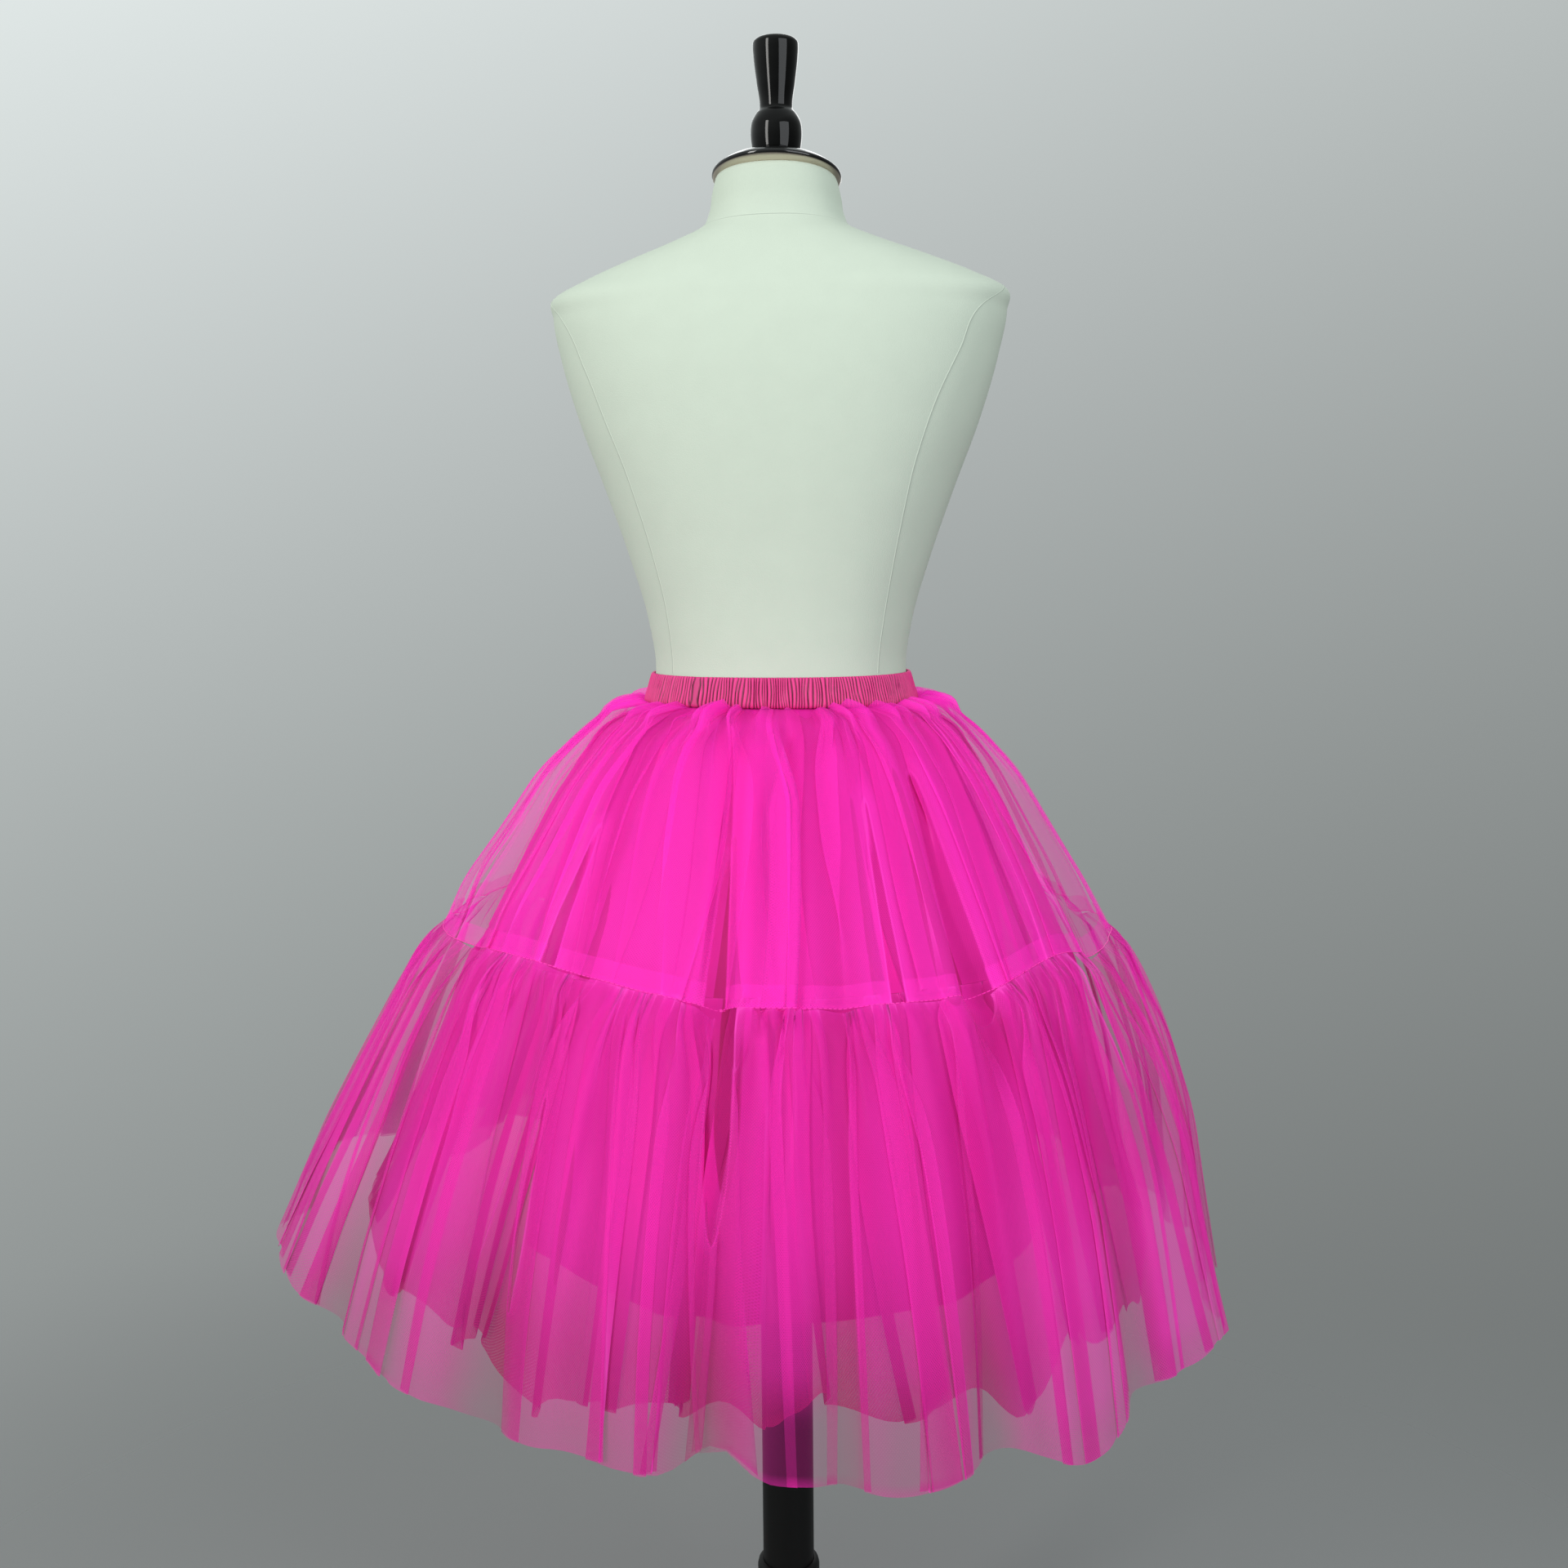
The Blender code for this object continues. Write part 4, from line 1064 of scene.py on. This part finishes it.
def make_outer_skirt():
    """The outer layer's two tiers, with the stitches and the turned-up edge at the seam between them."""
    waist, seam = edge_line(WAIST_SEAM), edge_line(OUTER_TIER_SEAM, SEAM_RISES)
    upper = fold_tier(Tier(
        OUTER_UPPER, rows_down(OUTER_UPPER.rows, 1.35), OUTER_UPPER_SECTIONS, waist, seam,
        deep_folds(OUTER_UPPER_FOLDS), OUTER_REACH, flat=0.40, press_top=0.10, cap=0.009, lean=1.1,
        drift=0.020, bend=0.010, fine=0.65, fine_reach=0.22, sway=0.16, puff=0.0055,
        openings=UPPER_OPENINGS))
    hang_tier("outer_upper_tulle", "outer_upper_tier", upper, UPPER_TULLE,
              stitches="outer_seam_stitches")
    seam_allowance("outer_seam_allowance", upper, UPPER_TULLE)
    lower = fold_tier(Tier(
        OUTER_LOWER, rows_down(OUTER_LOWER.rows, 1.25), OUTER_LOWER_SECTIONS, seam, edge_line(OUTER_HEM),
        lower_folds, flat=0.45, press_top=0.7, cap=0.012, lean=0.9, drift=0.024, bend=0.006, fine=1.0,
        fine_reach=0.13, sway=0.14, drop=hem_drop(*OUTER_HEM_WAVE), ragged=0.003,
        start=carried_on(upper), denser=0.40, painted_hem_shade=0.45, openings=LOWER_OPENINGS, turned=-0.011))
    hang_tier("outer_lower_tulle", "outer_lower_tier", lower, LOWER_TULLE_SHADED)


def make_inner_skirt():
    """The inner layer's two tiers."""
    waist, seam = edge_line(WAIST_SEAM), edge_line(INNER_TIER_SEAM)
    upper = fold_tier(Tier(
        INNER_UPPER, rows_down(INNER_UPPER.rows, 1.3), INNER_UPPER_SECTIONS, waist, seam, no_folds,
        INNER_REACH, flat=0.40, press_top=0.08, cap=0.007, lean=0.8, drift=0.02, fine=0.3,
        fine_reach=0.10, sway=0.20, openings=UPPER_OPENINGS))
    hang_tier("inner_upper_tulle", "inner_upper_tier", upper, INNER_TULLE)
    lower = fold_tier(Tier(
        INNER_LOWER, rows_down(INNER_LOWER.rows, 1.25), INNER_LOWER_SECTIONS, seam, edge_line(INNER_HEM),
        no_folds, flat=0.45, press_top=0.5, cap=0.010, lean=0.9, drift=0.03, fine=0.7, fine_reach=0.10,
        sway=0.18, drop=hem_drop(*INNER_HEM_WAVE), ragged=0.020, start=carried_on(upper),
        denser=0.4, thinner=0.25, painted_hem_shade=1.0, openings=LOWER_OPENINGS))
    hang_tier("inner_lower_tulle", "inner_lower_tier", lower, INNER_TULLE)


LINING_GATHERS, LINING_COLUMNS, LINING_ROWS = 10, 420, 60
LINING_WAVE_DEPTH, LINING_CUT = 0.010, (1.30, 0.49)
Wave = namedtuple("Wave", "amount count start")
LINING_BENDS = (Wave(0.35, 3, 0.9), Wave(0.25, 7, 1.8))


def round_waves(table, azimuth):
    """The sum of the table's sine waves round the compass."""
    return sum(wave.amount * np.sin(wave.count * azimuth + wave.start) for wave in table)


def make_lining():
    """Plain cloth tube: the lining's plan shape less soft waves that grow towards the hem.

    The waves are raised cosines whose phase is bent to and fro, so that they come out uneven.
    """
    azimuth = np.arange(LINING_COLUMNS) * 2 * np.pi / LINING_COLUMNS + np.zeros((LINING_ROWS, 1))
    down = rows_down(LINING_ROWS, 1.3)
    radius = section_radius(azimuth, down, LINING_SECTIONS, LINING_REACH)
    bend = round_waves(LINING_BENDS, azimuth)
    wave = 0.5 - 0.5 * np.cos(azimuth * LINING_GATHERS + 2 * np.pi * bend)
    radius = radius - LINING_WAVE_DEPTH * down[:, None] * wave
    waist, hem = edge_line(WAIST_SEAM)(azimuth), edge_line(LINING_HEM)(azimuth)
    height = waist + (hem - waist) * down[:, None]
    points = points_at(azimuth, radius, height)
    made = put("skirt_lining", points, grid_faces(LINING_ROWS, LINING_COLUMNS, True), LINING)
    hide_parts("lining")


BAND_COLUMNS, BAND_PROFILE_POINTS, BAND_CUT, BAND_SEED = 2100, 22, (0.80, 0.030), 5
EDGE_ROUNDNESS, FACE_ROUNDNESS, INSIDE_FLARE = 0.6, 0.5, 0.35
BAND_RIBS, RIB_DEPTH, RIB_SPREAD, RIB_LIMIT, RIB_SIZES = 236, 0.0018, 0.28, 1.6, (0.7, 1.3)
# The ribs' sharpness, their middle, the lift at the edges, and how dark the painted shade in the grooves is
RIB_SHARPNESS, RIB_MIDDLE, RIB_EDGE_LIFT, RIB_GROOVE_SHADE = 0.8, 0.75, 0.04, 2.9
# How the ribs slant from edge to edge, and how they bend between the edges
RIB_SLANTS, RIB_BENDS = (Wave(0.006, 9, 2), Wave(0.005, 23, 0)), (Wave(0.006, 31, 1),)
BAND_SEAM, SEAM_HALF, SEAM_WANDER = np.radians(-44), 0.0028, 0.0006
SEAM_DENT, SEAM_DENT_HALF, SEAM_LOW = 0.8, 0.0007, 0.10


def make_waistband():
    """Ruched casing: a rounded oval tube whose outside carries narrow, uneven, slightly slanting ribs.

    A rib is a sine to a small power. The ends meet in an upright seam, a flat strip between two dents.
    """
    columns, profile = BAND_COLUMNS, BAND_PROFILE_POINTS
    azimuth = np.arange(columns) * 2 * np.pi / columns
    turn = (np.arange(profile) * 2 * np.pi / profile)[:, None]
    tall, thick = (BAND_TOP - BAND_BOTTOM) / 2, BAND_WALL / 2
    up = np.sign(np.sin(turn)) * np.abs(np.sin(turn)) ** EDGE_ROUNDNESS
    out = np.sign(np.cos(turn)) * np.abs(np.cos(turn)) ** FACE_ROUNDNESS
    chance = np.random.default_rng(BAND_SEED)
    widths = np.exp(RIB_SPREAD * chance.standard_normal(BAND_RIBS).clip(-RIB_LIMIT, RIB_LIMIT))
    ends = np.concatenate([[0], np.cumsum(widths) / widths.sum()])
    bent = round_waves(RIB_BENDS, azimuth) * np.cos(2.5 * up)
    share = ((azimuth + round_waves(RIB_SLANTS, azimuth) * up + bent) / (2 * np.pi)) % 1
    phase = np.interp(share, ends, np.arange(BAND_RIBS + 1))
    size = fold_value(share, ends, chance.uniform(*RIB_SIZES, BAND_RIBS))
    rib = size * (np.abs(np.sin(np.pi * phase)) ** RIB_SHARPNESS - RIB_MIDDLE)
    off = np.abs(azimuth - BAND_SEAM % (2 * np.pi)) * form_radius(azimuth, BAND_BOTTOM)
    off = off + SEAM_WANDER * np.sin(9 * up)
    near = 1 - ease(off, SEAM_HALF, 1.4 * SEAM_HALF)
    dents = np.exp(-(((off - 1.2 * SEAM_HALF) / SEAM_DENT_HALF) ** 2))
    rib = rib * (1 - near) - SEAM_LOW * near - SEAM_DENT * dents
    outside = np.clip(out, 0, 1)
    height = (BAND_TOP + BAND_BOTTOM) / 2 + up * tall * (1 + RIB_EDGE_LIFT * rib)
    radius = form_radius(azimuth, height) + FORM_CLEARANCE + thick + thick * out
    flared = INSIDE_FLARE + (1 - INSIDE_FLARE) * outside
    radius = radius + BAND_FLARE * (BAND_TOP - height) / (2 * tall) * flared
    radius = radius + RIB_DEPTH * outside * rib
    points = points_at(azimuth, radius, height)
    faces = grid_faces(profile + 1, columns, True) % (profile * columns)
    # The crease value paints shade into the grooves between the ribs and into the seam's dents
    made = put("waistband_casing", points[::-1], faces, SATIN,
               values={"crease": (np.clip(-RIB_GROOVE_SHADE * rib, 0, 1) * outside)[::-1]})
    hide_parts("waistband")


# ---------------------------------------------------------------- the form and its stand


FORM_COLUMNS, FORM_ROWS = 200, 190


def form_surface(azimuth, height, lift):
    """Points on the form's cover or a little above it, with the slope of the neck plate."""
    radius = form_radius(azimuth, height)
    share = np.clip((height - TILT_START) / (TILT_END - TILT_START), 0, 1)
    return points_at(azimuth, radius + lift, height + share * neck_lean(azimuth, radius))


def make_form():
    """Jersey-covered torso: ovals on smooth lines through the sections, closed at both ends."""
    azimuth = np.arange(FORM_COLUMNS) * 2 * np.pi / FORM_COLUMNS
    knots = [section.height for section in FORM_SECTIONS]
    height = np.linspace(knots[-1], knots[0], FORM_ROWS)[:, None]
    points = form_surface(azimuth + 0 * height, height + 0 * azimuth, 0)
    middles = points[[0, -1]].mean(axis=1, keepdims=True)
    lids = np.repeat(middles, FORM_COLUMNS, axis=1)
    points = np.concatenate([lids[:1], points, lids[1:]])
    made = put("form_cover", points, grid_faces(FORM_ROWS + 2, FORM_COLUMNS, True), JERSEY)
    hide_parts("form_torso")


# Seams of the form's cover: heights and azimuths in degrees
Spot = namedtuple("Spot", "height azimuth")
COVER_SEAMS = (
    (Spot(1.350, -93), Spot(1.330, -84), Spot(1.284, -75.2), Spot(1.242, -70.8), Spot(1.204, -67.2),
     Spot(1.165, -64.8), Spot(1.131, -63.3), Spot(1.100, -62.2), Spot(1.065, -61.8), Spot(1.027, -61.8)),
    (Spot(1.356, 80), Spot(1.330, 66), Spot(1.294, 60.3), Spot(1.255, 55.2), Spot(1.206, 51.8),
     Spot(1.137, 51.2), Spot(1.077, 51.5), Spot(1.027, 50.5)),
    (Spot(1.352, 128), Spot(1.296, 133), Spot(1.240, 141), Spot(1.184, 146), Spot(1.127, 147),
     Spot(1.027, 144)),
    (Spot(1.352, -140), Spot(1.296, -144), Spot(1.240, -152), Spot(1.184, -157), Spot(1.127, -158),
     Spot(1.027, -155)),
)
# Cross-section of a cover seam: (distance across, rise)
COVER_SEAM_PROFILE = (
    (-0.0011, -0.0001), (-0.0006, 0.0003), (0.0, 0.00005), (0.0006, 0.0003), (0.0011, -0.0001),
)
COVER_SEAM_ROWS, NECK_SEAM_COLUMNS = 120, 240
NECK_SEAM_HEIGHT, GROOVE_HALF = 1.402, 0.0002


def make_cover_seams():
    """Narrow double ridges along the cover's seams, with painted shade in the groove between them."""
    across, lifts = np.array(COVER_SEAM_PROFILE).T
    groove = (np.abs(across) < GROOVE_HALF).astype(float)
    for number, spots in enumerate(COVER_SEAMS):
        heights = np.linspace(spots[0].height, spots[-1].height, COVER_SEAM_ROWS)[:, None]
        knots = np.array(spots)[::-1]
        middle = np.radians(line_weights(heights[:, 0], knots[:, 0]) @ knots[:, 1])[:, None]
        azimuth = middle + across / form_radius(middle, heights)
        points = form_surface(azimuth, heights + 0 * azimuth, lifts)
        faces = grid_faces(len(heights), len(across), False)
        put(f"cover_seam_{number + 1}", points, faces, SEAM_JERSEY,
            values={"crease": groove + np.zeros((len(heights), 1))})
    azimuth = (np.arange(NECK_SEAM_COLUMNS) * 2 * np.pi / NECK_SEAM_COLUMNS)[None, :]
    heights = NECK_SEAM_HEIGHT + across[:, None] + 0 * azimuth
    points = form_surface(azimuth + 0 * heights, heights, lifts[:, None])
    faces = grid_faces(len(across), NECK_SEAM_COLUMNS, True)[:, ::-1]
    put("cover_neck_seam", points, faces, SEAM_JERSEY, values={"crease": groove[:, None] + 0 * azimuth})


# Neck plate: (radius, rise above the neck) down its outer side, level inside and tilted outside
CAP_PROFILE = (
    (0.0210, 0.0249), (0.0270, 0.0240), (0.0380, 0.0178), (0.0535, 0.0084), (0.0554, 0.0068),
    (0.0557, 0.0052), (0.0551, 0.0040), (0.0500, 0.0000),
)
CAP_LEVEL_RADIUS, CAP_TILTED_RADIUS = 0.0270, 0.0470
# Below this height over the neck the plate is warm metal, a painted reflection of the ivory cover
CAP_REFLECTION_BELOW = 0.0038

# Finial, column, collar and foot: (radius, height) down the outer side
FINIAL_PROFILE = (
    (0.0000, 1.5630), (0.0184, 1.5628), (0.0193, 1.5615), (0.0195, 1.5590), (0.0191, 1.5500),
    (0.0166, 1.5290), (0.0141, 1.5090), (0.0142, 1.5068), (0.0178, 1.5020), (0.0212, 1.4950),
    (0.0221, 1.4870), (0.0215, 1.4780), (0.0203, 1.4715), (0.0195, 1.4690),
)
COLUMN_RADIUS = 0.0235
COLUMN_TOP, COLUMN_BOTTOM = 0.7997, 0.0700
COLLAR_PROFILE = (
    (0.0250, 0.2010), (0.0275, 0.1990), (0.0285, 0.1950), (0.0285, 0.1610), (0.0275, 0.1570),
    (0.0250, 0.1550),
)
FOOT_PROFILE = (
    (0.0000, 0.0697), (0.0300, 0.0697), (0.0320, 0.0670), (0.0330, 0.0420), (0.0450, 0.0330),
    (0.1000, 0.0240), (0.1650, 0.0180), (0.1770, 0.0150), (0.1800, 0.0100), (0.1800, 0.0030),
    (0.1770, 0.0000), (0.0000, 0.0000),
)
# What is left open between pieces that meet
GAP = 0.0003
TURNED_COLUMNS, SHARP_ANGLE = 96, np.radians(40)
CAP_ROWS, FINIAL_ROWS = 44, 90


def rounded(profile, count):
    """That many points on a smooth line through the profile's points, by the run of its chords."""
    profile = np.array(profile)
    run = np.concatenate([[0], np.cumsum(np.linalg.norm(np.diff(profile, axis=0), axis=1))])
    return line_weights(np.linspace(0, run[-1], count), run) @ profile


def put_turned(name, node, profile, material, lean=None, closed=False, values=None):
    """A turned piece: its profile's radii and heights carried round the axis, smooth but for its corners.

    The lean is an added height at each azimuth and radius. A closed profile ends where it starts.
    """
    radius, height = np.array(profile).T[:, :, None]
    azimuth = np.arange(TURNED_COLUMNS) * 2 * np.pi / TURNED_COLUMNS
    level = height + (lean(azimuth, radius) if lean else 0 * azimuth)
    points = points_at(azimuth, radius, level)
    rows = len(profile)
    faces = grid_faces(rows + closed, TURNED_COLUMNS, True) % (rows * TURNED_COLUMNS)
    made = put(name, points, faces, material, values=values)
    made.data.set_sharp_from_angle(angle=SHARP_ANGLE)
    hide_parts(node)
    return made


def cap_lean(azimuth, radius):
    """The plate is level near the boss and takes on the neck's slope further out."""
    return np.interp(radius, (CAP_LEVEL_RADIUS, CAP_TILTED_RADIUS), (0, 1)) * neck_lean(azimuth, radius)


def make_neck_plate():
    """The pressed neck plate: its rounded profile turned, warm metal below its rim as painted reflection."""
    neck_top = np.array([0, FORM_SECTIONS[-1].height + GAP])
    outside = rounded(CAP_PROFILE, CAP_ROWS)
    profile = np.vstack([[0, outside[0, 1]], outside, [0, 0]]) + neck_top
    bare = np.repeat(profile[:, 1] < neck_top[1] + CAP_REFLECTION_BELOW, TURNED_COLUMNS)
    made = put_turned("neck_plate", "neck_cap", profile, CAP_ENAMEL, cap_lean, values={"bare": bare})


def make_stand():
    """The finial above the plate, and the column, collar and foot below the form."""
    finial = np.vstack([rounded(FINIAL_PROFILE, FINIAL_ROWS), [0, FINIAL_PROFILE[-1][1]]])
    rod = COLUMN_RADIUS
    column = ((0, COLUMN_TOP), (rod, COLUMN_TOP), (rod, COLUMN_BOTTOM), (0, COLUMN_BOTTOM))
    bore = rod + GAP
    collar = COLLAR_PROFILE + ((bore, COLLAR_PROFILE[-1][1]), (bore, COLLAR_PROFILE[0][1]))
    for made in (
        put_turned("turned_finial", "finial", finial, BLACK),
        put_turned("stand_column", "column", column, POLE),
        put_turned("stand_collar", "collar", collar, POLE, closed=True),
        put_turned("stand_foot", "foot", FOOT_PROFILE, POLE),
    ):
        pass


# ---------------------------------------------------------------- floor, light and camera

CAMERA_DISTANCE, CAMERA_HEIGHT = 1.50, 1.12
CAMERA_PITCH, CAMERA_ROLL = np.radians(5.55), np.radians(0.5)
LENS_MM, SENSOR_MM = 39.06, 36.0
SHIFT = (0.0016, -0.0354)
# How many walls of net a line of sight may pass before it ends
NET_WALLS_SEEN = 48


FLOOR_RADIUS, FLOOR_FADE, FLOOR_BELOW = 1.8, (0.55, 1.7), 0.0005
FLOOR_COLOUR = (0.15, 0.155, 0.155, 1)


def make_floor():
    """Pale floor disc that fades out into the surround, by its distance from the stand."""
    nodes = Nodes("pale_floor")
    place = nodes.add("ShaderNodeTexCoord").outputs["Object"]
    far = nodes.add("ShaderNodeVectorMath", operation="LENGTH", in0=place).outputs["Value"]
    fade = nodes.add("ShaderNodeMapRange", Value=far, From_Min=FLOOR_FADE[0], From_Max=FLOOR_FADE[1],
                     To_Min=1.0, To_Max=0.0, interpolation_type="SMOOTHSTEP")
    surface = nodes.add("ShaderNodeBsdfPrincipled", Base_Color=FLOOR_COLOUR, Roughness=0.9)
    clear = nodes.add("ShaderNodeBsdfTransparent")
    material = nodes.finish(nodes.mix_shaders(fade.outputs[0], clear, surface))
    bpy.ops.mesh.primitive_circle_add(vertices=96, radius=FLOOR_RADIUS, fill_type="NGON",
                                      location=(0, 0, -FLOOR_BELOW))
    floor = bpy.context.object
    floor.name = "floor"
    floor.data.materials.append(material)


SURROUND_WAY, SURROUND_COLOUR = (-0.55, 0.0, 1.45), (0.96, 1.03, 1.02, 1)
SURROUND_LOW, SURROUND_BASE, SURROUND_MOST = -0.88, 2.718, 0.95


def make_surround():
    """Even surround that is lighter above and to the left.

    Its strength is an exponential of the direction's share along SURROUND_WAY, up to a limit.
    """
    world = bpy.data.worlds.new("pale_surround")
    bpy.context.scene.world = world
    world.use_nodes = True
    tree = world.node_tree
    way = tree.nodes.new("ShaderNodeTexCoord").outputs["Generated"]
    along = tree.nodes.new("ShaderNodeVectorMath")
    along.operation = "DOT_PRODUCT"
    along.inputs[1].default_value = SURROUND_WAY
    tree.links.new(way, along.inputs[0])
    level = along.outputs["Value"]
    steps = (("ADD", SURROUND_LOW), ("POWER", SURROUND_BASE), ("MINIMUM", SURROUND_MOST))
    for operation, first in steps:
        step = tree.nodes.new("ShaderNodeMath")
        step.operation = operation
        step.inputs[0].default_value = first
        tree.links.new(level, step.inputs[1])
        level = step.outputs[0]
    background = tree.nodes["Background"]
    background.inputs["Color"].default_value = SURROUND_COLOUR
    tree.links.new(level, background.inputs["Strength"])


Lamp = namedtuple("Lamp", "name place aim width height power colour")
LAMPS = (
    Lamp("key", (-2.0, -2.1, 1.9), (0, 0, 1.0), 0.6, 2.2, 72, (1.0, 0.99, 0.96)),
    Lamp("fill", (1.8, -2.4, 1.7), (0, 0, 1.0), 2.2, 2.2, 74, (0.93, 0.97, 1.0)),
    Lamp("back", (0.4, 2.4, 2.2), (0, 0, 0.9), 1.6, 1.6, 14, (1.0, 1.0, 1.0)),
)


def make_lamps():
    """Upright soft lamps, like windows: a narrow one at the left, a wide one at the right, one behind."""
    for lamp in LAMPS:
        light = bpy.data.lights.new(lamp.name, "AREA")
        light.shape, light.size, light.size_y = "RECTANGLE", lamp.width, lamp.height
        light.energy, light.color = lamp.power, lamp.colour
        made = bpy.data.objects.new(lamp.name, light)
        bpy.context.scene.collection.objects.link(made)
        made.location = lamp.place
        way = Vector(lamp.aim) - Vector(lamp.place)
        made.rotation_euler = way.to_track_quat("-Z", "Y").to_euler()


def make_camera():
    """The camera, tilted a little down and rolled a little."""
    camera = bpy.data.cameras.new("camera")
    camera.lens, camera.sensor_width = LENS_MM, SENSOR_MM
    camera.shift_x, camera.shift_y = SHIFT
    made = bpy.data.objects.new("camera", camera)
    bpy.context.scene.collection.objects.link(made)
    made.location = (0, -CAMERA_DISTANCE, CAMERA_HEIGHT)
    turn = Matrix.Rotation(np.pi / 2 - CAMERA_PITCH, 3, "X") @ Matrix.Rotation(-CAMERA_ROLL, 3, "Z")
    made.rotation_euler = turn.to_euler()
    bpy.context.scene.camera = made


make_outer_skirt()
make_inner_skirt()
make_lining()
make_waistband()
make_form()
make_cover_seams()
make_neck_plate()
make_stand()
make_floor()
make_surround()
make_lamps()
make_camera()
bpy.context.scene.cycles.transparent_max_bounces = NET_WALLS_SEEN
bpy.context.scene.view_settings.view_transform = "Standard"
